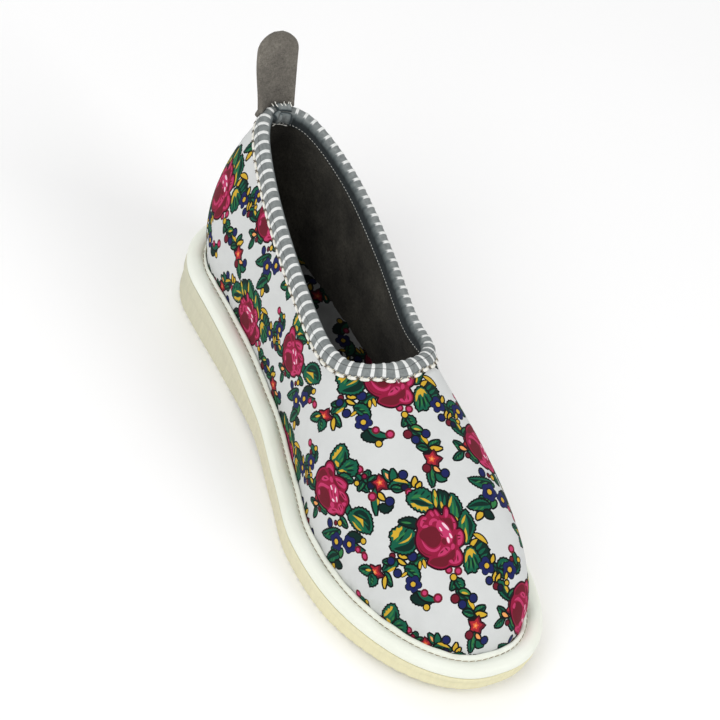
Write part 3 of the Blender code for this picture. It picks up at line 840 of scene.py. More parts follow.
# Leaves round the first rose: jagged edges, yellow flames along the veins and dark strokes.
CROWN_OF_LEAVES = [
    lined("leaf", [
        (-14, 57.2), (-13.9, 55.4), (-12.2, 54.2), (-9.6, 53.6), (-7.2, 53.6), (-5.4, 54.8), (-4.2, 56.8),
        (-3.7, 59.2), (-4, 61.2), (-6.4, 63), (-8.6, 63), (-10.2, 62.2), (-11.6, 61.2), (-12.8, 59.6),
    ]),
    patch("pine", [
        (-13.4, 56.8), (-10.8, 57.2), (-8, 58.8), (-5.4, 61.4), (-6.6, 61.2), (-9.4, 60.1), (-11, 58.9),
    ]),
    patch("moss", [(-12.6, 56), (-10.4, 55.2), (-8, 56), (-9.4, 56.7), (-11.4, 56.5)]),
    strokes("pine", 0.7, ((-6, 54.6), (-8.6, 56.2)), ((-4.6, 57), (-6.6, 57.8)), ((-9, 54.2), (-11.2, 55))),
    patch(
        "yellow",
        [(-13.4, 58), (-12, 58.3), (-10.9, 59.6), (-9.4, 60.6), (-6.9, 61.4), (-6.9, 62.7), (-7.7, 62.2),
         (-8.2, 63.1), (-9, 62), (-10, 62.5), (-10.5, 61.1), (-11.5, 61.3), (-11.8, 60), (-12.9, 59.8)],
        [(-4.5, 61), (-5.9, 58.9), (-7.4, 57.6), (-9.5, 56.7), (-8.1, 58.1), (-6.5, 59.7)],
        steps=1,
    ),
    lined("pine", [
        (-2.6, 62.4), (-2, 58.8), (-0.8, 56.8), (0.3, 56.2), (0.9, 57.6), (2.2, 57.4), (2.7, 58.9),
        (2, 61.4), (0.8, 64), (-1.2, 65),
    ]),
    strokes("leaf", 1.0, ((-1.6, 63), (-0.2, 57.4)), ((-0.2, 63.4), (1.6, 58.4))),
    blade("moss", (-3.5, 62.6), (-2.2, 55), 2.2, 0, 0.6),
    strokes(
        "yellow", 1.1,
        ((-3.6, 62.6), (-2.9, 58.6)), ((-2.6, 58.8), (-2.1, 55.4)), ((-1, 64), (-0.9, 60.6)),
    ),
    lined("leaf", [
        (1.2, 66.4), (2, 63), (3.6, 60), (4.9, 58.8), (5.6, 60.2), (6.4, 61), (6.6, 62.8), (7.2, 64.2),
        (6.8, 66), (7.4, 67.4), (6, 69.4), (3.8, 71), (2.6, 69.4),
    ]),
    patch("pine", [(5.2, 60), (6.2, 62.2), (6.8, 65), (5.8, 68.6), (5, 66), (5.4, 63)]),
    strokes("moss", 1.0, ((2.4, 68), (4.4, 61.4)), ((3.8, 69.6), (5.4, 64))),
    strokes("yellow", 1.1, ((1.6, 64), (4.6, 59.6)), ((3.4, 68.2), (3.9, 71.8))),
    lined("leaf", [
        (3.4, 73), (4.6, 70.6), (6.4, 68.4), (8, 66.9), (9, 67.4), (9.2, 69), (10.2, 70.4), (10, 72.2),
        (10.8, 73.6), (9.4, 75.8), (7.6, 77.6), (6, 79.4), (4.7, 79.8), (4, 76.6),
    ]),
    patch("pine", [(8.2, 68), (9.4, 70), (10, 73.4), (8, 76.6), (6.8, 77.4), (8, 73.4), (8.4, 70.6)]),
    strokes("moss", 1.0, ((5.8, 76.8), (7.8, 69.8)), ((4.4, 74.6), (5.8, 71))),
    strokes("yellow", 1.1, ((5.2, 71.8), (8, 68.6))),
    strokes("yellow", 1.5, ((4.9, 79.6), (6.3, 73.6))),
    lined("pine", [
        (7.4, 82.4), (9, 80.4), (11.6, 80), (13.4, 81.6), (13, 83), (13.9, 84.6), (13.2, 86), (14, 87.4),
        (11.6, 88.4), (8.8, 87.6),
    ]),
    strokes("leaf", 1.3, ((8.2, 83.4), (12, 81.2)), ((8.8, 85.4), (12.8, 83.6)), ((9.2, 87.4), (13, 86))),
    blade("yellow", (9.2, 76.9), (14, 82.2), 1.7, -0.5, 0.6),
    blade("yellow", (6.4, 81.6), (10.2, 79.4), 1.7, -0.3, 0.6),
    lined("leaf", [
        (1.8, 87.6), (2.6, 84.6), (4.2, 82.4), (6, 81.8), (7.4, 82.8), (8.2, 85), (9, 88), (8, 90.4),
        (6.6, 90.2), (5.4, 91.8), (4.2, 90.6), (2.4, 91.4), (1.8, 89.6),
    ]),
    strokes("pine", 1.0, ((4.2, 85.4), (2.8, 90.8)), ((5.6, 86), (5.2, 91.2)), ((6.8, 85.4), (7.6, 90))),
    strokes("moss", 0.6, ((5, 86.4), (4, 90.2)), ((6.2, 86), (6.4, 90)), ((3.4, 86.6), (2.4, 89.6))),
    patch("yellow", [
        (2.1, 87.4), (2.7, 84.9), (4.1, 82.8), (5.9, 82.1), (7.2, 83), (7.9, 85.2), (6.7, 84.2),
        (5.7, 86.2), (5.1, 84.5), (4, 84.9), (3, 86.6),
    ], steps=1),
    lined("leaf", [
        (-25.6, 74.4), (-26.6, 72.8), (-25.2, 71.2), (-25.2, 69.2), (-25.4, 68.2), (-23.8, 66.6),
        (-21.8, 66.2), (-19.4, 65.6), (-17.2, 66.8), (-15.8, 69), (-15.3, 72), (-16.4, 75), (-18.6, 77),
        (-22, 76.8),
    ]),
    patch("pine", [
        (-25.6, 73.8), (-22.6, 73.6), (-19, 73.4), (-16.2, 71.4), (-15.8, 73), (-17.8, 76), (-21.6, 76.2),
    ]),
    strokes("moss", 0.9, ((-23.8, 71.4), (-20.4, 69)), ((-21.4, 70.6), (-18.2, 67.6))),
    strokes("pine", 0.7, ((-22.6, 71.4), (-19.6, 69.6)), ((-19.4, 68.8), (-17.4, 67.4))),
    patch(
        "yellow",
        [(-25.2, 68.5), (-24.1, 67.8), (-23.7, 66.5), (-22.6, 66.9), (-21.7, 65.8), (-20.9, 66.4),
         (-19.4, 65.9), (-19.7, 67.1), (-21.2, 68.1), (-22.2, 69.6), (-24.6, 70.4), (-24.2, 69.2)],
        [(-16.3, 69.6), (-17.6, 71), (-19.3, 71.7), (-23, 72.4), (-20.4, 72.7), (-18.6, 72.4), (-17, 71.2)],
        steps=1,
    ),
    blade("pine", (-12.4, 68), (-20.2, 63.8), 3.4, 0.6, INK_LINE),
    strokes("moss", 0.8, ((-15.4, 66), (-19.4, 64.2))),
]


# The round rose on its crown of leaves.
ROSE_IN_LEAVES = [
    *CROWN_OF_LEAVES,
    lined("crimson", [
        (-13.4, 69), (-13.4, 67), (-11.8, 65.2), (-10.2, 64.5), (-9.2, 64.8), (-7.4, 63.3), (-6.1, 63),
        (-5.3, 63.7), (-4.4, 63), (-3.5, 64.2), (-2.8, 66), (-2, 66.4), (-1.3, 65.6), (-0.3, 63.4),
        (0.8, 63.5), (1.2, 65), (0.8, 66.4), (2, 67.4), (2.9, 69.6), (2.8, 72), (2, 73.4), (3.6, 73.5),
        (4.7, 75.2), (4.5, 77.6), (3.2, 79.7), (1.1, 80.6), (1.3, 82.4), (1.7, 84.4), (1, 86.2),
        (-0.6, 87.4), (-2.6, 87.4), (-4.6, 86.6), (-6.4, 87.1), (-8.6, 87), (-10.8, 86), (-12.6, 84.4),
        (-13.3, 83.2), (-12.2, 81.6), (-13.4, 80.6), (-15, 78.4), (-15.8, 75.8), (-15.5, 73), (-14.4, 70.6),
    ]),
    patch(
        "wine",
        [(-13.6, 71), (-11.6, 69.6), (-9, 69.3), (-6.9, 69.8), (-5.8, 71.4), (-5.2, 74), (-5.6, 76),
         (-7.2, 77.6), (-9.4, 78.1), (-11.2, 76.8), (-12.4, 74.6), (-13.6, 73)],
        [(-12.7, 83.2), (-10.8, 82.2), (-8.4, 82.4), (-5.6, 82.6), (-3.2, 81.6), (-1, 80.8), (-1.2, 82.8),
         (-2.6, 84.4), (-4.6, 84.4), (-5.2, 86), (-7.4, 86.5), (-10, 85.7), (-12, 84.4)],
        [(-15.2, 74.6), (-14.6, 77.4), (-13, 79.6), (-10.6, 80.8), (-13, 80.2), (-14.8, 78)],
        [(-2.6, 67.2), (-1.2, 67.9), (0.6, 68), (1.3, 69.6), (1.2, 71.6), (0.5, 73.6), (-0.2, 72.4),
         (-1, 70.4), (-2.1, 68.8)],
        [(-5.5, 76.2), (-4.3, 75.4), (-3.4, 76.4), (-3.7, 77.9), (-4.9, 78)],
        [(-0.7, 77.8), (0.3, 76), (1.4, 75.2), (1, 77.4), (0.3, 79.2), (-0.5, 79)],
    ),
    patch(
        "pink",
        [(-12.3, 67.8), (-11.4, 66), (-9.9, 65), (-8.7, 65.7), (-9.8, 66.7), (-11, 67.4), (-11.7, 68.6)],
        [(-8.6, 68.6), (-8.1, 67.3), (-6.6, 66.5), (-5.1, 67), (-4.4, 68.5), (-5.5, 67.9), (-6.9, 68),
         (-7.5, 69)],
        [(-11.9, 68.9), (-10.4, 68.1), (-8.9, 69), (-10.2, 69.5)],
        [(-7, 63.9), (-6.1, 63.6), (-5.4, 65.4), (-6.4, 65.8)],
        [(-4.8, 63.7), (-4.2, 63.7), (-3.4, 65.9), (-4.4, 66)],
        [(-1.2, 67.1), (-0.2, 64.6), (0.5, 64.1), (0.9, 65.2), (0.4, 66.8), (-0.5, 67.6)],
        [(1.4, 67.5), (2.3, 68.9), (2.5, 70.6), (2.1, 72.4), (1.2, 73.2), (1.6, 71.2), (1.7, 69.3)],
        [(-4.6, 67.9), (-2.9, 68.6), (-1, 71.6), (-0.3, 74.4), (-0.6, 76.6), (-2.2, 78.2), (-3.3, 77.6),
         (-3.2, 75.8), (-4.4, 74.9), (-5.2, 74), (-5.4, 71.6), (-6, 70)],
        [(0.9, 79.6), (1.7, 77), (2.4, 75), (3.8, 74.4), (4.3, 76), (3.6, 78.1), (2.2, 79.7)],
        [(-8.7, 81.9), (-7.2, 80.2), (-5.2, 79), (-3.3, 79.3), (-2.6, 80.4), (-4.2, 81.5), (-6.2, 82.1)],
        [(-2.4, 80.2), (-1.6, 78.6), (-0.5, 78.8), (-0.7, 80.3), (-1.9, 80.9)],
        [(-4.6, 84.9), (-3.5, 84.6), (-2.3, 85.4), (-1.2, 84.4), (-0.7, 82.2), (0.1, 81.4), (1, 83),
         (1, 85), (0, 86.4), (-2, 86.7), (-3.8, 86.1)],
        [(-13.4, 73.4), (-12.5, 75.6), (-11.1, 77.7), (-9.2, 78.8), (-7, 78.2), (-6.2, 77.8), (-7.4, 79.5),
         (-9.6, 79.8), (-11.8, 78.6), (-13.1, 76.4)],
    ),
    strokes(
        "wine", 0.55,
        ((-10.8, 66.2), (-9, 66.9)), ((-3.5, 66.6), (-2.6, 68.6)), ((1.6, 75.7), (3.3, 76.3)),
        ((1.5, 77.3), (3, 77.2)), ((-2.9, 84.2), (-2.5, 86)), ((-0.9, 86), (-0.3, 83.4)),
        ((-7.4, 81), (-5.6, 80.1)), ((-4.8, 79.2), (-3.8, 81)), ((1.6, 70.2), (2.5, 70.6)),
        ((-5.4, 72.2), (-4.2, 74.6)),
    ),
    patch(
        "blush",
        [(-3.3, 69.2), (-2.3, 69.5), (-1.2, 71.5), (-1, 73), (-2, 72.1), (-2.8, 70.7)],
        [(-4.9, 70.7), (-4.3, 70.9), (-3.9, 72.5), (-4.6, 72.2)],
        [(-1.5, 74.2), (-0.9, 74.3), (-0.4, 76), (-1.2, 76.2)],
        [(-2.9, 75.5), (-2.1, 75.7), (-2, 77), (-2.6, 78), (-3.1, 77)],
    ),
]


# Three leaves above the second rose's shoulder, and one below it on a stem.
LEAVES_ON_STEM = [
    lined("leaf", [
        (-40.2, 29.6), (-39.8, 28), (-38, 27), (-36, 25.9), (-34.6, 25.6), (-32.7, 26), (-32.3, 27.6),
        (-32.1, 29.4), (-32.6, 31.4), (-33.4, 32.8), (-35.6, 33.8), (-38.6, 35), (-39.4, 33), (-39.9, 31),
    ]),
    patch("pine", [(-36.8, 33), (-34.4, 31), (-32.8, 28.4), (-32.8, 31.2), (-34.4, 33)]),
    strokes("moss", 1.0, ((-37.4, 31), (-33.4, 28)), ((-36.6, 32.4), (-34.4, 30.8))),
    patch(
        "yellow",
        [(-40, 29.7), (-39.2, 28.3), (-38.6, 28.6), (-37.6, 27.1), (-37, 27.7), (-36, 26.5), (-35.4, 27.1),
         (-34.4, 26), (-33.4, 26.6), (-34.4, 27.7), (-36.4, 28.7), (-38.4, 29.6)],
        [(-39.1, 31), (-38.4, 30.6), (-37.3, 32.3), (-38.1, 34), (-38.9, 33)],
        steps=1,
    ),
    lined("leaf", [
        (-39.4, 36), (-38.4, 35), (-36, 34), (-33.6, 32.9), (-31.6, 33.2), (-31, 34.2), (-29.6, 34.8),
        (-30.2, 37), (-31, 38.6), (-32.6, 39.6), (-35, 38.6), (-37.4, 36.8),
    ]),
    strokes(
        "pine", 0.9,
        ((-35.6, 35.2), (-30.8, 35.4)), ((-35, 36.6), (-31.6, 37.8)), ((-36.4, 37.4), (-33, 39)),
    ),
    strokes("moss", 0.7, ((-35, 34.6), (-32, 33.8)), ((-34.6, 36), (-31.4, 36.6))),
    patch("yellow", [(-38.8, 35.1), (-36.8, 35.3), (-35, 37.4), (-36.6, 36.7), (-38, 36.1)], steps=1),
    leaf((-38.6, 37.2), (-33.8, 42), 3.2, 0.2),
    blade("leaf", (-40.4, 48.6), (-40, 56), 2.6, 0.2, INK_LINE),
    lined("leaf", [
        (-41.2, 55), (-39.8, 53.6), (-36.4, 53.2), (-34.2, 53.8), (-32.2, 55.6), (-31.3, 58), (-31.6, 60.6),
        (-32.2, 63), (-33.8, 64.4), (-35.6, 63.4), (-37.6, 62.4), (-39.6, 60.2), (-40.6, 57.6),
    ]),
    patch("pine", [
        (-38.4, 54.4), (-35, 54), (-32.4, 56.4), (-32, 60.6), (-33.6, 63.8), (-34.6, 61.6), (-35.2, 59),
        (-36.6, 56.8),
    ]),
    strokes("moss", 1.1, ((-39.2, 56.6), (-36.2, 62.6))),
    strokes("leaf", 0.6, ((-36.4, 55.4), (-33.2, 58.6)), ((-35, 58.6), (-33.4, 61.6))),
    patch(
        "yellow",
        [(-39, 54.8), (-37, 56.4), (-34.8, 58.3), (-35.2, 59.5), (-35.8, 61.4), (-36.4, 59), (-37.6, 57)],
        [(-40.1, 57.2), (-39.2, 58.4), (-38.3, 60.6), (-37.1, 62.3), (-38.1, 62), (-38.9, 61), (-39.5, 60)],
        steps=1,
    ),
]


# The second rose, seen a little from the side.
ROSE_ON_STEM = [
    *LEAVES_ON_STEM,
    lined("crimson", [
        (-54.6, 36), (-53, 34.4), (-52.4, 32.6), (-50.4, 31.2), (-48, 30.4), (-46, 30.6), (-44.8, 31),
        (-43.6, 30), (-42, 29.6), (-40.6, 30.4), (-40.2, 32), (-40.6, 34), (-41.6, 36.2), (-40.6, 37),
        (-38.6, 38.6), (-37.3, 40.6), (-36.8, 42.2), (-38, 43.8), (-39.3, 44.7), (-38.7, 46.4),
        (-38.8, 48.6), (-39.8, 50), (-41.2, 50.6), (-42.4, 52), (-44, 52.9), (-46, 52.2), (-47.2, 51),
        (-48.6, 51.2), (-50.2, 50.2), (-51.8, 48.8), (-52.2, 47), (-53.6, 45.4), (-54.8, 43.2), (-55.6, 40),
        (-55.4, 38),
    ]),
    patch(
        "wine",
        [(-54.6, 41), (-53.4, 38.6), (-51.6, 37.4), (-49.6, 38), (-48, 39.8), (-47.6, 42), (-48.2, 44.4),
         (-49.4, 46.8), (-51.4, 46.8), (-53.2, 45), (-54.4, 43)],
        [(-52.6, 34.4), (-51, 32.2), (-48.4, 31.1), (-46, 31.3), (-45.2, 33), (-45.2, 34.6), (-48, 33.7),
         (-50.4, 34.7)],
        [(-43.9, 33.4), (-42.6, 32.8), (-41.8, 35), (-42.6, 36.2), (-43.6, 35.4)],
        [(-42.8, 37.4), (-41.8, 38.4), (-41.6, 40.6), (-40.2, 43), (-42, 42), (-42.6, 39.6)],
        [(-42.6, 44.6), (-41.6, 45.6), (-40.8, 48), (-42, 48.2), (-43, 46.8)],
    ),
    patch(
        "pink",
        [(-44.4, 31.6), (-43, 30.4), (-41.4, 30.9), (-40.9, 32.8), (-41.4, 34.7), (-42, 33.4), (-42.8, 32)],
        [(-49.2, 34.7), (-47.4, 34), (-45.6, 34.7), (-44.9, 36.4), (-46.4, 36.6), (-48, 36)],
        [(-53.2, 36.7), (-50.8, 35.6), (-48.6, 36.9), (-46.2, 39.4), (-47.2, 40), (-49.2, 38),
         (-51.4, 36.9)],
        [(-54.4, 39), (-53.2, 37.6), (-52.5, 38.3), (-53.4, 40)],
        [(-44.6, 36.4), (-43.4, 35.8), (-42.9, 37.4), (-43.6, 38.6), (-44.4, 38)],
        [(-46, 39.6), (-44.6, 39), (-43, 39.8), (-42.2, 41.6), (-42.6, 44), (-43.6, 46.4), (-45, 47),
         (-46.6, 46.4), (-47.6, 44.4), (-47.2, 42)],
        [(-41.6, 37.4), (-39.8, 38.5), (-38.1, 40.4), (-37.4, 42.2), (-38.6, 43.4), (-40, 42.2),
         (-41, 40.4)],
        [(-41.9, 43.1), (-40.5, 44), (-39.4, 46), (-39.4, 48.2), (-40.4, 47.8), (-41.2, 45.8)],
        [(-51.9, 48), (-49.4, 47.6), (-47.2, 48.6), (-45.7, 50.2), (-45.7, 51.8), (-47.2, 50.6),
         (-49.4, 50.2), (-51.2, 49.2)],
        [(-45.4, 49.6), (-44.2, 48), (-42.6, 49), (-42.6, 51), (-44, 52.4), (-45.2, 52)],
        [(-49.1, 46.6), (-47.8, 45.6), (-46.6, 47.2), (-47.3, 48.3), (-48.6, 47.8)],
        [(-42.4, 48.6), (-41.4, 48.4), (-40.3, 49.3), (-41.6, 50.3)],
    ),
    strokes(
        "crimson", 0.8,
        ((-45.6, 40.4), (-46.3, 44.4)), ((-44.4, 42.4), (-44.8, 45)), ((-49.2, 48.6), (-46.8, 50.2)),
    ),
    strokes(
        "wine", 0.6,
        ((-41.2, 38.8), (-39, 41.8)), ((-41, 44.4), (-39.9, 47.4)), ((-44.6, 48.8), (-44.4, 51.4)),
        ((-43.4, 48.6), (-43.2, 50.6)), ((-43.6, 31.6), (-42.5, 33.8)), ((-47.8, 34.6), (-46, 35.9)),
    ),
    patch(
        "blush",
        [(-45.4, 39.4), (-44.8, 39.3), (-44.8, 41.1), (-45.4, 41.2)],
        [(-44.2, 42.7), (-43, 40.9), (-43.1, 42.4), (-44, 43.2)],
        [(-47, 45), (-46.4, 44.7), (-45.7, 46.2), (-46.6, 46.1)],
        [(-44.5, 45), (-43.9, 44.9), (-44.1, 46.4), (-44.8, 47.2)],
    ),
]


# From the second rose's leaves to the first's crown: berries, a star, pointed leaves and yellow buds.
GARLAND_BETWEEN_ROSES = [
    leaf((-31, 40), (-28.8, 48.2), 3.0, 0.5),
    leaf((-29, 43.4), (-32.8, 46.4), 2.2, 0.2),
    leaf((-28.2, 44.2), (-25.8, 40), 3.0, -0.5),
    leaf((-27.4, 44.4), (-23.6, 43), 2.4, 0.2),
    berry(-29.4, 38.2, 1.3, "pink"),
    berry(-28.3, 41.6, 0.8, "crimson"),
    berry(-32.4, 43.2, 0.95, "yellow"),
    berry(-26.8, 46.0, 1.4, "dusk"),
    blade("leaf", (-24.6, 47), (-28.6, 58.6), 2.6, 0.6, INK_LINE),
    blade("yellow", (-25.2, 51), (-26.6, 55), 1.0),
    blade("pine", (-26.4, 55.6), (-20.6, 56.4), 3.0, 1.0, INK_LINE),
    bud((-24.8, 50), (-23.2, 53.6), 1.8, 0.2),
    berry(-27.8, 50.6, 1.45, "pink"),
    berry(-21.4, 54.8, 1.65, "navy"),
    star(-22.6, 46.4, 3.7, -1.5),
    blade("leaf", (-18.4, 47.4), (-20.2, 41.4), 2.6, 0.2, INK_LINE),
    blade("amber", (-18.7, 46), (-19.7, 42.8), 1.2),
    blade("leaf", (-17.6, 47.4), (-16.4, 42.2), 2.6, 0.2, INK_LINE),
    leaf((-20, 49), (-11, 51.4), 3.6, -1.2),
    leaf((-18.8, 49.4), (-14.6, 51.6), 2.4, 0.3),
    blade("yellow", (-17.4, 46.8), (-11.9, 49.8), 1.3, -0.5),
    berry(-12.9, 45.8, 1.65, "navy"),
    berry(-13.8, 51.0, 1.2, "dusk"),
    bud((-10.2, 51.8), (-8.5, 48), 1.9, 0.2),
    bud((-9.2, 52.8), (-6.9, 50.8), 1.7, 0.2),
    berry(-12.7, 53.5, 1.15, "pink"),
]


# From the first rose outwards: buds, berries, a star and its leaves, and a curl with a navy flower.
GARLAND_TO_OUTER_SIDE = [
    leaf((-13, 80.4), (-21, 82.6), 3.0, 0.6),
    blade("yellow", (-16.2, 81.6), (-17.4, 85.2), 1.1, 0, 0.4),
    blade("yellow", (-14.8, 81.4), (-14.8, 85), 1.1, 0, 0.4),
    leaf((-22.6, 82), (-18.6, 88.8), 4.0, -0.6),
    blade("yellow", (-22.8, 84.6), (-25.6, 85.6), 1.0, 0, 0.4),
    leaf((-25, 79), (-33, 81), 3.4, 0.4),
    leaf((-27.6, 79.4), (-31.8, 77.4), 2.2, 0.3),
    blade("yellow", (-27, 81), (-32, 82), 1.1, -0.3),
    leaf((-32, 82), (-31.2, 88.2), 2.6, 0.3),
    bud((-32.6, 83.4), (-34.8, 88.2), 1.6, 0.2),
    berry(-27.0, 76.4, 1.0, "wine"),
    berry(-28.2, 78.2, 1.45, "navy"),
    bud((-24.2, 76.4), (-21, 79), 1.7, 0.2),
    bud((-25, 78.4), (-22.4, 81.4), 1.3, 0.2),
    berry(-18.8, 79.0, 1.75, "navy"),
    berry(-26.9, 83.8, 1.55, "navy"),
    star(-36.8, 80.8, 4.0, 1.9),
    leaf((-38.6, 80.6), (-44.4, 76.8), 3.6, 0.5),
    leaf((-38.8, 80.8), (-41.6, 85.2), 4.2, -1.0),
    blade("yellow", (-38.6, 79.2), (-41.4, 78.2), 1.0),
    blossom(-21.6, 89.9, 3.6, 0.4),
    blade("pine", (-23.8, 95), (-16.6, 99.4), 4.6, -0.8, INK_LINE),
    blade("leaf", (-20.6, 93.4), (-13.2, 98.8), 2.2, 0.9, INK_LINE),
    berry(-17.8, 94.6, 1.15, "pink"),
    berry(-12.8, 98.0, 1.45, "pink"),
    berry(-18.4, 100.4, 1.2, "yellow"),
]


# Hanging strand under the first rose, with berries, long leaves and a star.
STRAND_BELOW_ROSE = [
    berry(-5.6, 88.3, 1.15, "pink"),
    berry(-1.8, 89.7, 1.25, "pink"),
    leaf((-3.6, 92.4), (-6.8, 96.2), 2.6, -0.4),
    leaf((-3.4, 92.6), (-2.2, 97.6), 3.0, -0.5),
    berry(-4.4, 91.6, 1.2, "yellow"),
    leaf((-4.4, 97), (0.4, 102.4), 2.6, 0.3),
    blade("moss", (-3.4, 97.4), (1, 100), 2.0, -0.3, INK_LINE),
    blade("yellow", (-2.6, 98.2), (0.2, 99.5), 0.8),
    leaf((-2.4, 102), (1.8, 108.8), 3.6, 0.3),
    blade("yellow", (-0.4, 101.8), (1.7, 106.8), 1.5, -0.2, 0.3),
    leaf((1.6, 106.8), (6.8, 106), 2.8, 0.4),
    bud((1.8, 107.8), (7, 109.4), 2.0, 0.2),
    leaf((0.6, 108.4), (-3.6, 105.8), 2.6, 0.3),
    blade("ink", (-2.4, 109.4), (3, 109.8), 2.0),
    berry(-5.8, 100.0, 1.6, "wine"),
    berry(-3.2, 103.0, 1.6, "navy"),
    berry(2.0, 101.6, 1.6, "navy"),
    star(1.4, 113.0, 4.2, 0.1),
    leaf((0, 115.4), (-2.4, 124), 3.0, 0.3, "moss"),
    blade("leaf", (0.6, 119), (4.6, 122.4), 2.4, 0.9, INK_LINE),
    blade("amber", (0.8, 116), (2.8, 118.6), 1.5, 0.2, INK_LINE),
    berry(-2.4, 115.8, 1.6, "wine"),
    berry(4.8, 119.8, 1.65, "navy"),
]


# From the first rose inwards: two navy flowers, buds and a star with its leaves.
GARLAND_TO_INNER_SIDE = [
    leaf((15, 90.6), (18.6, 97), 2.6, 0.4),
    blossom(11.4, 90.6, 3.7, 0.9),
    bud((13.9, 90), (15.6, 87), 1.5, 0.1),
    leaf((16.4, 92), (22.4, 91.4), 3.2, -0.5),
    leaf((23, 93.6), (28.4, 93), 4.4, 0.6),
    blade("leaf", (26.2, 93), (25.4, 87.4), 2.0, 0.5, INK_LINE),
    blossom(21.8, 94.4, 3.7, 0.2),
    bud((12.9, 97.2), (14.8, 93.8), 1.5, 0.1),
    bud((14.2, 97.6), (16.6, 95), 1.4, 0.1),
    blade("yellow", (18.8, 97.8), (20, 95.2), 1.2, 0.1, 0.45),
    leaf((15.4, 97.6), (19.4, 106), 4.0, 0.3),
    blade("yellow", (18, 99.6), (19.4, 104), 1.1, 0.1),
    leaf((19, 104.6), (22.6, 102.4), 2.4, 0.3),
    blade("amber", (20.4, 105.6), (22.8, 104.6), 1.2, 0.1, 0.45),
    berry(11.0, 96.6, 1.4, "navy"),
    berry(13.6, 99.4, 1.15, "wine"),
    berry(15.6, 100.4, 1.1, "dusk"),
    berry(19.1, 99.2, 0.9, "yellow"),
    berry(25.2, 86.4, 1.3, "pink"),
    berry(24.0, 90.4, 0.8, "wine"),
    berry(28.2, 91.2, 0.95, "yellow"),
    star(20.4, 109.8, 3.6, 0.5),
    leaf((15.6, 113.4), (12.8, 107.6), 2.6, 0.9),
    leaf((15.4, 113.2), (10.4, 115), 2.6, -0.3),
    blade("amber", (14.8, 110.4), (17.8, 112.4), 1.5, 0.1, INK_LINE),
    leaf((18.8, 113), (21.2, 118.6), 3.4, -0.4, "moss"),
    berry(17.4, 114.8, 0.9, "wine"),
]


# Under the second rose: navy flowers on dark leaves, with a drooping stem of berries.
SPRAY_BELOW_SECOND_ROSE = [
    leaf((-48.4, 59), (-60.8, 54.6), 4.2, -0.8),
    leaf((-45.4, 53.4), (-43.6, 58.8), 2.6, 0.4),
    berry(-53.2, 53.1, 1.45, "navy", 1.2),
    berry(-49.6, 54.5, 0.75, "wine"),
    berry(-47.2, 55.5, 1.1, "yellow"),
    leaf((-50.6, 66.6), (-58.6, 63), 3.0, -0.4),
    blade("moss", (-50.8, 66), (-54, 68.6), 2.4, 0.3, INK_LINE),
    blossom(-52.7, 61.8, 4.1, 0.3),
    leaf((-54.6, 68), (-64.8, 65.8), 4.2, 0.8),
    blade("pine", (-58, 69), (-54.8, 72.8), 2.8, 0.2, INK_LINE),
    bud((-59, 69.6), (-62.6, 71.6), 2.4, 0.3),
    blade("pine", (-46, 63.2), (-38, 65.6), 4.2, -0.6, INK_LINE),
    blade("leaf", (-43.6, 65.4), (-38.6, 71), 2.0, 0.8, INK_LINE),
    blossom(-45.6, 65.6, 3.9, 1.0),
    berry(-41.9, 69.2, 1.05, "pink"),
    berry(-37.9, 66.7, 1.1, "yellow"),
    berry(-39.6, 72.8, 1.1, "pink", 1.3),
]


# The motifs of a repeat, in printing order
MOTIFS = [
    *SPRAY_BELOW_SECOND_ROSE,
    *GARLAND_BETWEEN_ROSES,
    *GARLAND_TO_OUTER_SIDE,
    *STRAND_BELOW_ROSE,
    *ROSE_ON_STEM,
    *ROSE_IN_LEAVES,
    *GARLAND_TO_INNER_SIDE,
]
REPEAT_SHAPES = [shape for motif in MOTIFS for shape in motif]


def within(points, polygon):
    """Which points lie inside a polygon."""
    x, y = points[:, :1], points[:, 1:]
    ax, ay = polygon.T
    bx, by = np.roll(polygon, -1, axis=0).T
    rising = (ay > y) != (by > y)
    crossing = ax + (y - ay) / np.where(by == ay, 1e-9, by - ay) * (bx - ax)
    return (rising & (x < crossing)).sum(axis=1) % 2 == 1


def printed_shapes(domain):
    """Every shape of the print that falls on a cut piece of cloth, in printing order."""
    whole = np.concatenate([outline for _, outline in REPEAT_SHAPES])
    centre = whole.mean(axis=0)
    low = np.floor((domain.min(axis=0) - centre) / REPEAT).astype(int) - 1
    high = np.ceil((domain.max(axis=0) - centre) / REPEAT).astype(int) + 1
    found = []
    for i in range(low[0], high[0] + 1):
        for j in range(low[1], high[1] + 1):
            moved = REPEAT * (i, j)
            inside = within(whole + moved, domain)
            start = 0
            for ink, outline in REPEAT_SHAPES:
                count = len(outline)
                if inside[start : start + count].any():
                    found.append((ink, outline + moved))
                start += count
    return found


UNDERSIDE_STEP = 6.0


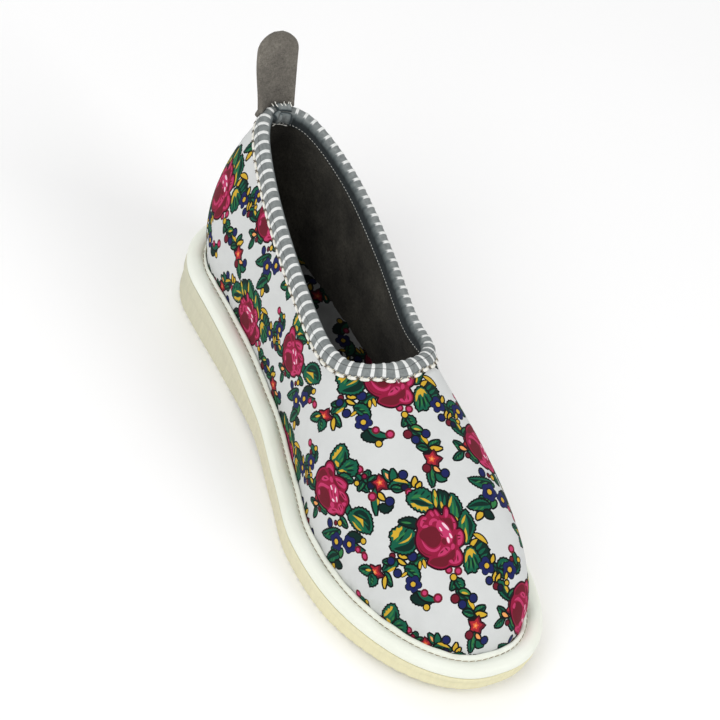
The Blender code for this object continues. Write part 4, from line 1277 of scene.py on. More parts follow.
def printed_sheet(name, domain, step, outer_at, inner_at, finish, node):
    """A closed thin piece whose outer side carries the print.

    domain is the cut's outline on the flat cloth. outer_at and inner_at lay flat points on the two sides, in
    millimetres, outer_at with its normals.
    """
    domain = turned_left(domain)
    shapes = [(ink, turned_left(outline)) for ink, outline in printed_shapes(domain)]
    grid = grid_within(domain, step)
    flat = [tuple(p) for p in domain] + [tuple(p) for p in grid]
    outlines = [list(range(len(domain)))]
    for _, outline in shapes:
        outlines.append(list(range(len(flat), len(flat) + len(outline))))
        flat += [tuple(p) for p in outline]
    found = delaunay_2d_cdt([Vector(p) for p in flat], [], outlines, 1, 1e-4, True)
    points = np.array([tuple(p) for p in found[0]])
    kept = [(face, max(origin)) for face, origin in zip(found[2], found[5]) if 0 in origin]
    faces = np.array([face for face, _ in kept])
    inks = [shapes[top - 1][0] if top else "ground" for _, top in kept]
    used, faces = np.unique(faces, return_inverse=True)
    faces = faces.reshape(-1, 3)
    points = points[used]
    rim = boundary(faces)
    under_points, under_faces = plain_filling(points[rim], UNDERSIDE_STEP)
    outer, normals = outer_at(points)
    inner = inner_at(under_points)
    first = len(points)
    under_rim = np.arange(first, first + len(rim))
    sides = np.stack([np.roll(rim, -1), rim, under_rim, np.roll(under_rim, -1)], axis=1)
    parts = [faces, under_faces[:, ::-1] + first, sides]
    spans = np.cross(outer[faces[:, 1]] - outer[faces[:, 0]], outer[faces[:, 2]] - outer[faces[:, 0]])
    if (spans * normals[faces[:, 0]]).sum() < 0:
        parts = [part[:, ::-1] for part in parts]
    verts = np.concatenate([outer, inner])
    piece = finished(name, placed(verts), [face for part in parts for face in part], finish, node)
    colour_faces(piece, inks, points, under_points)
    keep_normals(piece, len(outer), normals)
    return piece


def boundary(faces):
    """The loop of points round a sheet of triangles."""
    edges = np.concatenate([faces[:, [0, 1]], faces[:, [1, 2]], faces[:, [2, 0]]])
    keys = np.sort(edges, axis=1)
    _, index, counts = np.unique(keys, axis=0, return_index=True, return_counts=True)
    follow = dict(edges[index[counts == 1]].tolist())
    start = next(iter(follow))
    loop = [start]
    while follow[loop[-1]] != start:
        loop.append(follow[loop[-1]])
    return np.array(loop)


def grid_within(outline, step):
    """Grid points inside an outline."""
    low, high = outline.min(axis=0), outline.max(axis=0)
    grid = np.stack(np.meshgrid(np.arange(low[0], high[0], step), np.arange(low[1], high[1], step)), axis=2)
    grid = grid.reshape(-1, 2)
    return grid[within(grid, outline)]


def plain_filling(outline, step):
    """Triangles inside an outline, with few points: the outline's own first, then a loose grid."""
    flat = [Vector(p) for p in np.concatenate([outline, grid_within(outline, step)])]
    found = delaunay_2d_cdt(flat, [], [list(range(len(outline)))], 1, 1e-5, True)
    points = np.array([tuple(p) for p in found[0]])
    faces = np.array([face for face, origin in zip(found[2], found[5]) if 0 in origin])
    given = np.array([origin[0] for origin in found[3]])
    return points[np.argsort(given)], given[faces]


def colour_faces(piece, inks, points, under_points):
    """Colours of the print on the piece's faces, and the flat coordinates of every corner."""
    mesh = piece.data
    colours = np.ones((len(mesh.polygons), 4))
    colours[:, :3] = INKS["ground"]
    colours[: len(inks), :3] = [INKS[ink] for ink in inks]
    counts = np.array([polygon.loop_total for polygon in mesh.polygons])
    layer = mesh.color_attributes.new("print", "FLOAT_COLOR", "CORNER")
    layer.data.foreach_set("color", np.repeat(colours, counts, axis=0).ravel())
    flat_map(piece, "cut", np.concatenate([points, under_points]))


def keep_normals(piece, count, normals):
    """Shades the printed side with the smooth face's own normals."""
    mesh = piece.data
    own = np.empty(len(mesh.vertices) * 3)
    mesh.vertices.foreach_get("normal", own)
    own = own.reshape(-1, 3)
    own[:count] = normals
    mesh.normals_split_custom_set_from_vertices(own.tolist())


# The upper's cloth, laid flat along its grain. Its splay is how many degrees the grain turns on a steep wall.

WALL_ROWS = 61
SPLAY = 15.0
INNER_SPLAY = 6.0
HEEL_SPLAY = 12.0
LASTING_STRETCH = 0.0044
LASTING_START = 28.0

# Stations between which the quarter's grain becomes the vamp's, and between which the heel's splay grows
VAMP_GRAIN = (90, 150)
OUTER_HEEL = (80, 30)
INNER_HEEL = (140, 80)


def part_way(values, ends):
    """How far values are on the way from one end to the other."""
    return np.clip((values - ends[0]) / (ends[1] - ends[0]), 0, 1)


def eased(share):
    """A share of the way that starts and ends softly."""
    return share * share * (3 - 2 * share)


def grain(rows, normals):
    """Directions across and along the cloth, which runs to the toe on the vamp and round the heel behind."""
    wrapped = np.concatenate([rows[:, -3:-1], rows, rows[:, 1:3]], axis=1)
    around = unit(np.gradient(wrapped, axis=1)[:, 2:-2])
    sideways = np.zeros_like(rows)
    sideways[..., 0] = 1
    ahead = np.zeros_like(rows)
    ahead[..., 1] = -1

    def lying(vectors):
        return vectors - (vectors * normals).sum(axis=2, keepdims=True) * normals

    vamp = unit(lying(ahead) - np.cross(normals, lying(sideways)))
    count = rows.shape[1]
    side = np.where(np.arange(count) < (count - 1) / 2, 1.0, -1.0)[None, :, None]
    quarter = unit(lying(around)) * side
    station = -rows[..., 1:2]
    share = eased(part_way(station, VAMP_GRAIN))
    along = unit(quarter * (1 - share) + vamp * share)
    steep = -normals[..., :1]
    outer = SPLAY + HEEL_SPLAY * part_way(station, OUTER_HEEL)
    inner = INNER_SPLAY + HEEL_SPLAY * part_way(station, INNER_HEEL)
    turn = np.radians(steep * np.where(steep > 0, outer, inner))
    along = np.cos(turn) * along + np.sin(turn) * np.cross(along, normals)
    return np.cross(normals, along), along


def laid_flat(rows, normals):
    """Flat cloth coordinates of every point of the upper's face, as even as the grain allows."""
    across, along = grain(rows, normals)
    steps = [np.diff(rows, axis=axis) for axis in (0, 1)]
    lengths = [np.linalg.norm(step, axis=2) for step in steps]
    reach = [np.zeros_like(length) for length in lengths]
    beside = (lengths[1][:-1] + lengths[1][1:]) / 4
    reach[0][:, :-1] += beside
    reach[0][:, 1:] += beside
    beside = (lengths[0][:, :-1] + lengths[0][:, 1:]) / 4
    reach[1][:-1] += beside
    reach[1][1:] += beside
    weights = [r / np.maximum(length, 1e-3) for r, length in zip(reach, lengths)]

    def gathered(flow):
        total = np.zeros(rows.shape[:2])
        total[1:] += flow[0]
        total[:-1] -= flow[0]
        total[:, 1:] += flow[1]
        total[:, :-1] -= flow[1]
        return total

    def pull(field):
        return gathered([weight * np.diff(field, axis=axis) for axis, weight in enumerate(weights)])

    stiffness = np.zeros(rows.shape[:2])
    stiffness[1:] += weights[0]
    stiffness[:-1] += weights[0]
    stiffness[:, 1:] += weights[1]
    stiffness[:, :-1] += weights[1]
    flat = []
    for direction, start in ((across, rows[..., 0]), (along, -rows[..., 1])):
        ahead = [unit(direction[1:] + direction[:-1]), unit(direction[:, 1:] + direction[:, :-1])]
        wanted = gathered([w * (step * to).sum(axis=2) for w, step, to in zip(weights, steps, ahead)])
        flat.append(relaxed(pull, stiffness, wanted, start))
    flat = np.stack(flat, axis=2)
    flat -= flat[-1, rows.shape[1] // 2]
    stretch = LASTING_STRETCH * np.maximum(0, np.abs(flat[..., 0]) - LASTING_START)
    flat[..., 1] *= np.where(flat[..., 1] < 0, 1 + stretch, 1.0)
    return flat


def relaxed(pull, stiffness, wanted, start, rounds=1200):
    """Field whose pulls balance the wanted ones, by conjugate gradients."""
    field = start.copy()
    left = wanted - pull(field)
    ready = left / stiffness
    way = ready
    size = (left * ready).sum()
    enough = 1e-9 * (wanted * wanted / stiffness).sum()
    for _ in range(rounds):
        pulled = pull(way)
        step = size / (way * pulled).sum()
        field = field + step * way
        left = left - step * pulled
        ready = left / stiffness
        next_size = (left * ready).sum()
        if next_size < enough:
            break
        way = ready + next_size / size * way
        size = next_size
    return field


class Laying:
    """Lays flat points on faces that share one flat map of rows and columns."""

    def __init__(self, flat):
        rows, columns = flat.shape[:2]
        self.points = flat.reshape(-1, 2)
        corner = np.arange(rows * columns).reshape(rows, columns)
        low = np.stack([corner[:-1, :-1], corner[:-1, 1:], corner[1:, 1:]], axis=2).reshape(-1, 3)
        high = np.stack([corner[:-1, :-1], corner[1:, 1:], corner[1:, :-1]], axis=2).reshape(-1, 3)
        self.faces = np.concatenate([low, high])
        verts = [(x, y, 0.0) for x, y in self.points]
        self.tree = BVHTree.FromPolygons(verts, self.faces.tolist())

    def shares(self, points):
        """For each flat point, the three corners round it and their weights."""
        found = [self.tree.find_nearest((x, y, 0.0))[2] for x, y in points]
        corners = self.faces[found]
        a, b, c = (self.points[corners[:, k]] for k in range(3))
        d = points - a
        e, f = b - a, c - a
        span = e[:, 0] * f[:, 1] - e[:, 1] * f[:, 0]
        second = (d[:, 0] * f[:, 1] - d[:, 1] * f[:, 0]) / span
        third = (e[:, 0] * d[:, 1] - e[:, 1] * d[:, 0]) / span
        return corners, np.stack([1 - second - third, second, third], axis=1)

    def on(self, face, corners, weights):
        return (face.reshape(-1, face.shape[-1])[corners] * weights[..., None]).sum(axis=1)


CLOTH_THICKNESS = 0.7
CLOTH_STEP = 2.5
SEAM_DEPTH = 0.4
SEAM_WIDTH = 1.3

# Soft troughs in the cloth, and ridges where the depth is negative. Places are those of the print's chart.
Crease = namedtuple("Crease", "start end depth width")
CREASES = (
    Crease(start=(-60, 71), end=(-46, 86), depth=-0.9, width=2.8),
    Crease(start=(-50, 86), end=(-34, 96), depth=-0.8, width=2.6),
    Crease(start=(-66, 40), end=(-44, 58), depth=0.45, width=4.5),
    Crease(start=(-70, 52), end=(-52, 70), depth=0.35, width=4.0),
    Crease(start=(-22, 2), end=(-48, 16), depth=0.4, width=4.5),
    Crease(start=(24, 2), end=(48, 18), depth=0.4, width=4.5),
    Crease(start=(64, 44), end=(44, 60), depth=0.45, width=4.5),
    Crease(start=(52, 84), end=(36, 96), depth=0.35, width=3.2),
    Crease(start=(-70, -60), end=(-62, -30), depth=0.35, width=5.0),
    Crease(start=(72, -60), end=(64, -28), depth=0.35, width=5.0),
)
PUCKER_DEPTH = 0.22
PUCKER_PITCH = 9.0
PUCKER_REACH = 7.0
PUCKER_STATIONS = (150, 190)


def cloth_relief(rows, flat):
    """How far the cloth stands out from the wall: creases, puckers over the welt at the toe, and the seam."""
    relief = np.zeros(rows.shape[:2])
    for crease in CREASES:
        start, end = np.array(crease.start, float), np.array(crease.end, float)
        along = end - start
        share = ((flat - start) @ along) / (along @ along)
        away = np.linalg.norm(flat - start - np.clip(share, 0, 1)[..., None] * along, axis=2) / crease.width
        fading = np.clip(4 * share * (1 - share), 0, 1) ** 0.5
        relief -= crease.depth * fading * (1 - 0.8 * away**2) * np.exp(-(away**2))
    round_foot = run(rows[0])
    at_toe = part_way(-rows[0, :, 1], PUCKER_STATIONS)
    uneven = 1.3 * np.sin(round_foot / 17)
    wave = np.sin(2 * math.pi * round_foot / PUCKER_PITCH + uneven)
    over_welt = np.exp(-((run(rows) - WELT_LIP_HEIGHT) / PUCKER_REACH) ** 2)
    seam = closed(from_heel(rows[len(rows) // 2, :-1]))
    relief += PUCKER_DEPTH * at_toe * wave * over_welt
    return relief - SEAM_DEPTH * np.exp(-((seam / SEAM_WIDTH) ** 2))


def make_upper_cloth(cotton):
    """Printed cotton outside of the upper, cut in one piece with its seam at the heel."""
    wall = upper_face(np.linspace(0, 1, WALL_ROWS))
    wall_normals = face_normals(wall)
    rows = np.concatenate([wall, wall[:, :1]], axis=1)
    normals = np.concatenate([wall_normals, wall_normals[:, :1]], axis=1)
    flat = laid_flat(rows, normals)
    laying = Laying(flat)
    domain = np.concatenate([flat[0], flat[1:, -1], flat[-1, -2::-1], flat[-2:0:-1, 0]])
    creased = rows + normals * cloth_relief(rows, flat)[..., None]
    shading = face_normals(creased[:, :-1])
    shading = np.concatenate([shading, shading[:, :1]], axis=1)
    under = rows - normals * CLOTH_THICKNESS

    def outside(points):
        corners, weights = laying.shares(points)
        return laying.on(creased, corners, weights), unit(laying.on(shading, corners, weights))

    def inside(points):
        return laying.on(under, *laying.shares(points))

    piece = printed_sheet("upper_cloth", domain, CLOTH_STEP, outside, inside, cotton, "upper")


LINING_ROWS = 41
LINING_GAP = 0.05
LINING_SEAM_RISE = 0.9
LINING_SEAM_WIDTH = 1.8


def make_lining(felt):
    """Dark felt inside of the upper, as thick as the wall less its cloth, with a seam up the heel."""
    shares = np.linspace(0, 1, LINING_ROWS)
    outer = upper_face(shares)
    normals = face_normals(outer)
    inside = normals.copy()
    inside[0, :, 2] = 0
    inside[0] = unit(inside[0])
    front = outer - normals * (CLOTH_THICKNESS + LINING_GAP)
    seam = LINING_SEAM_RISE * np.exp(-((from_heel(outer[LINING_ROWS // 2]) / LINING_SEAM_WIDTH) ** 2))
    below_flap = np.clip((1 - shares) * 4, 0, 1)
    back = outer - inside * (WALL + seam[None, :, None] * below_flap[:, None, None])
    rings = np.concatenate([front, back[::-1]])
    faces = ring_faces(len(rings), RING_COUNT, True)
    piece = finished("upper_felt", placed(rings.reshape(-1, 3)), faces, felt, "upper", 40)


STRIPE_PITCH = 4.69
STRIPE_START = 0.35
STRIPE_POINTS = 10
STRIPE_RISE = 0.3
WHITE_SHARE = 0.34
RIBBON_PUFF = 0.3
EDGE_TUCK = 0.6
RIBBON_WIDTH = 19.0
OUTER_FLAP_ROWS = 7
INNER_FLAP_ROWS = 8
FOLD_POINTS = 13


def make_binding(ribbon):
    """Ribbon folded over the collar's edge, longer inside. Its white stripes stand a little proud."""
    rings, shown = binding_rings()
    stripes = stripe_places()
    count = STRIPE_POINTS * round(stripes[-1] - stripes[0])
    along = STRIPE_START + np.arange(count + 1) / STRIPE_POINTS
    places = np.interp(along[:-1], stripes, np.arange(len(stripes)))
    rings = np.array([ring_between(ring, places) for ring in rings])
    white = np.sin(math.pi * np.clip(along[:-1] % 1 / WHITE_SHARE, 0, 1)) ** 0.5
    fading = np.interp(np.arange(shown), [0, 2, len(rings) * 0.3, shown * 0.62], [0.4, 1, 1, 0])
    rings[:shown] += face_normals(rings[:shown]) * (STRIPE_RISE * fading[:, None] * white)[..., None]
    faces = ring_faces(len(rings), count, True)
    piece = finished("collar_ribbon", placed(rings.reshape(-1, 3)), faces, ribbon, "collar_binding", 50)
    across = np.zeros((len(rings), count))
    across[:shown] = run(rings[:shown])
    across[shown:-3] = across[shown - 1]
    uv_by_ring(piece, "ribbon", along, across)
    ends = make_ribbon_joint(ribbon)


def binding_rings():
    """The folded ribbon's rings: its skin from the outer edge over the fold inwards, then its back."""
    outer, normals = flap_rows(below_ribbon, BINDING_DROP, OUTER_FLAP_ROWS)
    inner, inner_normals = flap_rows(below_collar, BINDING_DROP_INSIDE, INNER_FLAP_ROWS)
    inner = inner - inner_normals * WALL
    edge, edge_normal = outer[-1], normals[-1]
    up = unit(edge - outer[-2])
    middle = edge - edge_normal * HALF_WALL
    skin = [middle + edge_normal * p.across + up * p.up for p in fold_curve(FOLD_SKIN, FOLD_POINTS)]
    lining = [middle + edge_normal * p.across + up * p.up for p in FOLD_LINING]
    far = FLAP_GAP + BINDING_THICKNESS
    tucked = np.interp(np.arange(len(outer)), [0, 1, 3], [EDGE_TUCK, EDGE_TUCK / 3, 0])
    puff = far - tucked + RIBBON_PUFF * np.sin(np.linspace(0, 0.8 * math.pi, len(outer)))
    puff = puff[:, None, None]
    rings = [*(outer + normals * puff)[:-1], *skin, *(inner - inner_normals * far)[-2::-1]]
    shown = len(rings)
    rings += [*(inner - inner_normals * FLAP_GAP)[:-1], *lining, *(outer + normals * FLAP_GAP)[-2::-1]]
    return np.array(rings), shown


# The ribbon's end folds: places from the middle of the heel, and the first and last of the binding's rings
JOINT_LIFT = 0.3
JOINT_COLUMNS = 15
JointFold = namedtuple("JointFold", "middle slant half_width first last thickness")
JOINT_FOLDS = (
    JointFold(middle=2.4, slant=2.4, half_width=3.7, first=16, last=24, thickness=2.2),
    JointFold(middle=2.4, slant=0.0, half_width=3.7, first=9, last=15, thickness=2.0),
    JointFold(middle=-3.2, slant=2.4, half_width=1.8, first=14, last=24, thickness=1.7),
)


def make_ribbon_joint(ribbon):
    """The ribbon's ends, folded in over each other inside the heel."""
    rings, shown = binding_rings()
    normals = face_normals(rings[:shown])
    pieces = []
    for number, fold in enumerate(JOINT_FOLDS, 1):
        across = fold.half_width * np.sin(np.linspace(-math.pi / 2, math.pi / 2, JOINT_COLUMNS))
        levels = np.arange(fold.first, fold.last + 1)
        middles = np.linspace(fold.middle, fold.middle + fold.slant, len(levels))
        places = list(zip(levels, middles))
        surface = np.array([beside_heel(rings[level], across + middle) for level, middle in places])
        out = unit(np.array([beside_heel(normals[level], across + middle) for level, middle in places]))
        half = fold.thickness / 2 * np.outer(soft_edges(len(levels), 12), soft_edges(JOINT_COLUMNS, 10))
        middle = surface + out * (JOINT_LIFT + fold.thickness / 2)
        piece = slab(f"ribbon_joint_{number}", middle, out, half, ribbon)
        flat = joint_map(len(levels))
        flat_map(piece, "ribbon", np.concatenate([flat, flat[:, ::-1]], axis=1).reshape(-1, 2))
        pieces.append(piece)
    return pieces


def joint_map(rows):
    """A fold's place on the ribbon: on the grey between two stripes, and reaching the ribbon's painted shade
    towards its edges.
    """
    along = np.linspace(0.4, 0.9, JOINT_COLUMNS)
    sides = np.abs(np.linspace(-1, 1, JOINT_COLUMNS)) ** 8
    ends = np.abs(np.linspace(-1, 1, rows)) ** 6
    # Towards its edges the fold takes the inner half's painted shade. This stands for the shade in the gaps
    # round the fold.
    across = RIBBON_WIDTH * (0.53 + 0.3 * np.maximum.outer(ends, sides))
    return np.stack([np.broadcast_to(along, across.shape), across], axis=2)


def soft_edges(count, power):
    """Shares of a strip's thickness across it, full in the middle and round at both edges."""
    return np.sqrt(1 - 0.94 * np.abs(np.linspace(-1, 1, count)) ** power)


def flap_rows(face, drop, count):
    """Rows of the upper's outer face under a flap of the binding, the last one at the collar's edge."""
    rows = face([*np.linspace(drop, FLAP_TOP, count), 0.0])
    return rows, face_normals(rows)


THROAT_STRETCH = 1.28
THROAT_REACH = 34.0


def below_ribbon(distances):
    """Rows below the collar's edge, spread at the throat, where the ribbon's outer flap reaches lower."""
    from_throat = (np.arange(RING_COUNT) - HALF_COUNT) / THROAT_REACH
    plain = below_collar(distances)
    lower = below_collar([THROAT_STRETCH * distance for distance in distances])
    return plain + (lower - plain) * np.exp(-(from_throat**4))[:, None]


def fold_curve(section, count):
    """The fold's section with more points, round between its own."""
    knots = np.arange(len(section))
    at = np.linspace(0, len(section) - 1, count)
    across = through(knots, [p.across for p in section], at)
    up = through(knots, [p.up for p in section], at)
    return [FoldPoint(a, u) for a, u in zip(across, up)]


def stripe_places():
    """Place of every point of the collar along the ribbon, counted in stripes, a whole count all round."""
    lengths = run(closed(below_collar([0.0])[0]))
    count = round(lengths[-1] / STRIPE_PITCH)
    return STRIPE_START + lengths / lengths[-1] * count


def uv_by_ring(piece, name, along, across):
    """A flat map for rings of quads: along has one value more than a ring, so that the seam stays whole."""
    mesh = piece.data
    count = across.shape[1]
    level, place = np.divmod(corner_points(mesh), count)
    quads = place.reshape(-1, 4)
    wraps = np.ptp(quads, axis=1, keepdims=True) > count // 2
    on_ring = np.where(wraps & (quads == 0), count, quads).ravel()
    pairs = np.column_stack([along[on_ring], across[level, place]])
    mesh.uv_layers.new(name=name).data.foreach_set("uv", pairs.ravel())


def make_welt(leatherette):
    """Wrapped strip round the upper's foot: a roll over the sole's edge, a stitch groove and a lip."""
    knots = np.arange(len(WELT_SECTION))
    at = np.linspace(0, len(WELT_SECTION) - 1, WELT_POINTS)
    insets = through(knots, [p.inset for p in WELT_SECTION], at)
    heights = through(knots, [p.height for p in WELT_SECTION], at)
    rings = []
    for inset, height in zip(insets, heights):
        ring = inset_ring(inset)
        rings.append(raised(ring, top_of_sole(ring) + height))
    rings = np.array(rings + lip_rings())
    faces = ring_faces(len(rings), RING_COUNT, True)
    finished("welt_strip", placed(rings.reshape(-1, 3)), faces, leatherette, "welt", 60)


def lip_rings():
    """The lip's rings, which follow the upper's own wall."""
    shares = np.linspace(0, 1, FINE_ROWS)
    rows = upper_face(shares)
    over_foot = np.maximum.accumulate(rows[:, :, 2] - rows[0, :, 2], axis=0)
    round_foot = run(closed(rows[0]))[1:]
    wavy = LIP_WAVE * (np.sin(round_foot / 2.9) + np.sin(round_foot / 1.7 + 2 * np.sin(round_foot / 23)))
    rise = WELT_LIP_HEIGHT - GAP + wavy
    lip = wall_points(np.array([[np.interp(rise[i], over_foot[:, i], shares) for i in range(RING_COUNT)]]))[0]
    out = raised(outward(inset_ring(WELT_WIDTH)), 0.0)
    up = np.array([0, 0, 1.0])
    outer = [lip + out * (GAP + WELT_LIP_WIDTH), lip + out * (GAP + 0.6) + up * 0.12]
    inner = [lip + out * (GAP + 0.2) - up * 0.1, lip + out * GAP - up * WELT_LIP_ROUND]
    return [*outer, *inner, rows[0] + out * GAP]


def tread_stations():
    """Stations of the outsole's rings: even ones, and the corners of every groove."""
    mouth, root = GROOVE_WIDTH / 2, GROOVE_WIDTH / 4
    grooves = np.arange(RIB_PITCH, SOLE_LENGTH - RIB_PITCH / 2, RIB_PITCH)
    corners = (grooves[:, None] + np.array([-mouth, -root, root, mouth])).ravel()
    every = np.concatenate([even_stations(), corners])
    every = np.unique(np.round(every, 3))
    keep = np.concatenate([[True], np.diff(every) > 0.05])
    return every[keep]


def groove_depth(station):
    """How far the tread is cut in at a station."""
    mouth, root = GROOVE_WIDTH / 2, GROOVE_WIDTH / 4
    nearest = np.clip(np.round(station / RIB_PITCH), 1, round(SOLE_LENGTH / RIB_PITCH) - 1) * RIB_PITCH
    away = np.abs(station - nearest)
    return GROOVE_DEPTH * np.clip((mouth - away) / (mouth - root), 0, 1)


def make_outsole(rubber):
    """Wedge sole with a stepped side and grooves across the tread that show as notches in its lower edge."""
    station = tread_stations()
    edge = sole_edge(station)
    out = outward(edge)
    bottom = sole_column("bottom", -edge[:, 1])
    top = top_of_sole(edge)
    cut = groove_depth(-edge[:, 1])
    rings = []
    for point in OUTSOLE_SIDE:
        height = bottom + point.share * (top - bottom)
        rings.append(raised(edge - out * point.inset, np.maximum(height, bottom + cut)))
    rings = np.array(rings)
    count = len(edge)
    faces = ring_faces(len(rings), count, False)
    faces += cap_faces(0, count, True)
    faces += cap_faces((len(rings) - 1) * count, count, False)
    finished("outsole_rubber", placed(rings.reshape(-1, 3)), faces, rubber, "outsole", 35)


SOCK_ON_PRINT = (33.0, 34.0)
SOCK_STEP = 3.0
SOCK_EDGE_WIDTH = 3.0
SOCK_EDGE_DROP = 1.2


def make_insole(cotton):
    """Printed sock: a thin pad with a rounded edge."""
    cut = np.array(SOCK_ON_PRINT)
    domain = inset_ring(WELT_WIDTH + WALL + 2 * GAP)[::2] + cut

    def height(points):
        return sole_column("top", -points[:, 1]) + GAP

    def edge_distance(points):
        gaps = points[:, None, :] - domain[None]
        return np.sqrt((gaps**2).sum(axis=2).min(axis=1))

    def outside(points):
        away = np.clip(edge_distance(points) / SOCK_EDGE_WIDTH, 0, 1)
        rise = INSOLE_THICKNESS - SOCK_EDGE_DROP * (1 - away) ** 2
        normals = np.zeros((len(points), 3))
        normals[:, 2] = 1
        return np.column_stack([points - cut, height(points - cut) + rise]), normals

    def inside(points):
        return np.column_stack([points - cut, height(points - cut)])

    piece = printed_sheet("sock_pad", domain, SOCK_STEP, outside, inside, cotton, "insole")


def make_tab(felt):
    """Felt strip outside the heel, sewn below the collar and standing free above it, with soft edges."""
    strip = tab_strip()
    normal = unit(np.cross(np.gradient(strip, axis=0), np.gradient(strip, axis=1)))
    rows, columns = strip.shape[:2]
    thickness = np.interp(np.arange(rows), [0, rows // 2], [TAB_SKIVED, TAB_THICKNESS])[:, None]
    half = thickness / 2 * soft_edges(columns, 10)
    half[rows // 2 :] *= soft_edges(2 * (rows - rows // 2), 30)[rows - rows // 2 :, None]
    piece = slab("felt_tab", strip + normal * thickness[..., None] / 2, normal, half, felt, "pull_tab")


def tab_strip(rows_half=24, columns=25):
    """Inner face of the tab: rows from its sewn end below the collar up to its free round end."""
    below = np.linspace(TAB_BELOW_COLLAR, 0, rows_half)
    turns = np.linspace(0, math.pi / 2, rows_half + 1)[1:]
    above = TAB_ABOVE_COLLAR * np.sin(turns)
    places = TAB_WIDTH / 2 * np.sin(np.linspace(-math.pi / 2, math.pi / 2, columns))
    over_binding = FLAP_GAP + BINDING_THICKNESS + GAP
    rows = []
    surface = below_collar(below)
    normals = face_normals(surface)
    for drop, ring, normal in zip(below, surface, normals):
        clear = np.interp(drop, [BINDING_DROP + 1, TAB_BELOW_COLLAR], [over_binding, over_binding / 2])
        path = ring + normal * clear
        width = round_end(TAB_BELOW_COLLAR - drop, TAB_END_RADIUS)
        width *= np.interp(drop, [0, TAB_BELOW_COLLAR], [TAB_WAIST, TAB_SEWN_SHARE])
        rows.append(beside_heel(path, places * width))
    base = np.array(rows[-1])
    middle = base[columns // 2]
    lean = math.radians(TAB_LEAN)
    rising = np.array([0.0, math.sin(lean), math.cos(lean)])
    for height in above:
        flat = eased(np.clip(height / TAB_FLATTEN, 0, 1))
        level = middle + np.outer(places, [1.0, 0.0, 0.0])
        width = round_end(TAB_ABOVE_COLLAR - height, TAB_END_RADIUS)
        row = (1 - flat) * base + flat * level
        rows.append(middle + (row - middle) * [width, 1.0, 1.0] + rising * height)
    return np.array(rows)


def round_end(distance, radius):
    """Share of the full width at a distance from a strip's round end."""
    short = np.clip(1 - distance / radius, 0, TAB_NARROWEST)
    return math.sqrt(1 - short**2)


# Sewing


def stitch_tree():
    """Node tree that lays a bead of thread at every point of a guide, along it and flat on its surface."""
    tree = bpy.data.node_groups.new("stitches", "GeometryNodeTree")
    for name, kind in (
        ("Guide", "NodeSocketGeometry"),
        ("Stitch Size", "NodeSocketVector"),
        ("Lean", "NodeSocketFloat"),
        ("Thread", "NodeSocketMaterial"),
    ):
        tree.interface.new_socket(name, in_out="INPUT", socket_type=kind)
    tree.interface.new_socket("Stitches", in_out="OUTPUT", socket_type="NodeSocketGeometry")

    def add(kind, settings=None, **inputs):
        return add_node(tree, kind, settings, **inputs).outputs

    given = add("NodeGroupInput")
    loop = add("GeometryNodeMeshToCurve", Mesh=given["Guide"])[0]
    along = add("GeometryNodeInputTangent")[0]
    out = add("GeometryNodeInputNamedAttribute", {"data_type": "FLOAT_VECTOR"}, Name="out")[0]
    align = "FunctionNodeAlignRotationToVector"
    lying = add(align, {"axis": "X"}, Vector=along)[0]
    facing = add(align, {"axis": "Z", "pivot_axis": "X"}, Rotation=lying, Vector=out)[0]
    lean = add("FunctionNodeAxisAngleToRotation", Axis=(0.0, 0.0, 1.0), Angle=given["Lean"])[0]
    in_place = {"rotation_space": "LOCAL"}
    turned = add("FunctionNodeRotateRotation", in_place, Rotation=facing, Rotate_By=lean)[0]
    bead = add("GeometryNodeMeshUVSphere", Segments=8, Rings=5, Radius=0.5)["Mesh"]
    laid = add(
        "GeometryNodeInstanceOnPoints",
        Points=loop,
        Instance=bead,
        Rotation=turned,
        Scale=given["Stitch Size"],
    )[0]
    real = add("GeometryNodeRealizeInstances", Geometry=laid)[0]
    dyed = add("GeometryNodeSetMaterial", Geometry=real, Material=given["Thread"])[0]
    add("NodeGroupOutput", Stitches=dyed)
    return tree


def sewn(tree, name, points, out, size, lean, thread, all_round=True):
    """A row of stitches through points, turned by the lean from the row's direction. Sizes in millimetres."""
    mesh = bpy.data.meshes.new(name)
    count = len(points)
    steps = count if all_round else count - 1
    mesh.from_pydata(placed(points).tolist(), [(i, (i + 1) % count) for i in range(steps)], [])
    facing = mesh.attributes.new("out", "FLOAT_VECTOR", "POINT")
    facing.data.foreach_set("vector", np.asarray(out, float).ravel())
    guide = put(name, mesh)
    rows = guide.modifiers.new("stitches", "NODES")
    rows.node_group = tree
    values = {"Stitch Size": [part * MM for part in size], "Lean": math.radians(lean), "Thread": thread}
    for item in tree.interface.items_tree:
        if item.in_out == "INPUT" and item.name in values:
            rows[item.identifier] = values[item.name]
    shown = guide.evaluated_get(bpy.context.evaluated_depsgraph_get())
    made = bpy.data.meshes.new_from_object(shown)
    guide.modifiers.remove(rows)
    guide.data = made
    made.name = name
    made.shade_smooth()
    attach(guide, "root")


def ring_between(ring, places):
    """Points of a closed ring at places counted in its own points."""
    whole = closed(ring)
    at = np.arange(len(whole))
    return np.column_stack([np.interp(places, at, whole[:, axis]) for axis in range(3)])


def evenly(ring, pitch):
    """Places on a closed ring about one pitch apart, counted in its points."""
    lengths = run(closed(ring))
    count = round(lengths[-1] / pitch)
    return np.interp(np.arange(count) / count * lengths[-1], lengths, np.arange(len(lengths)))


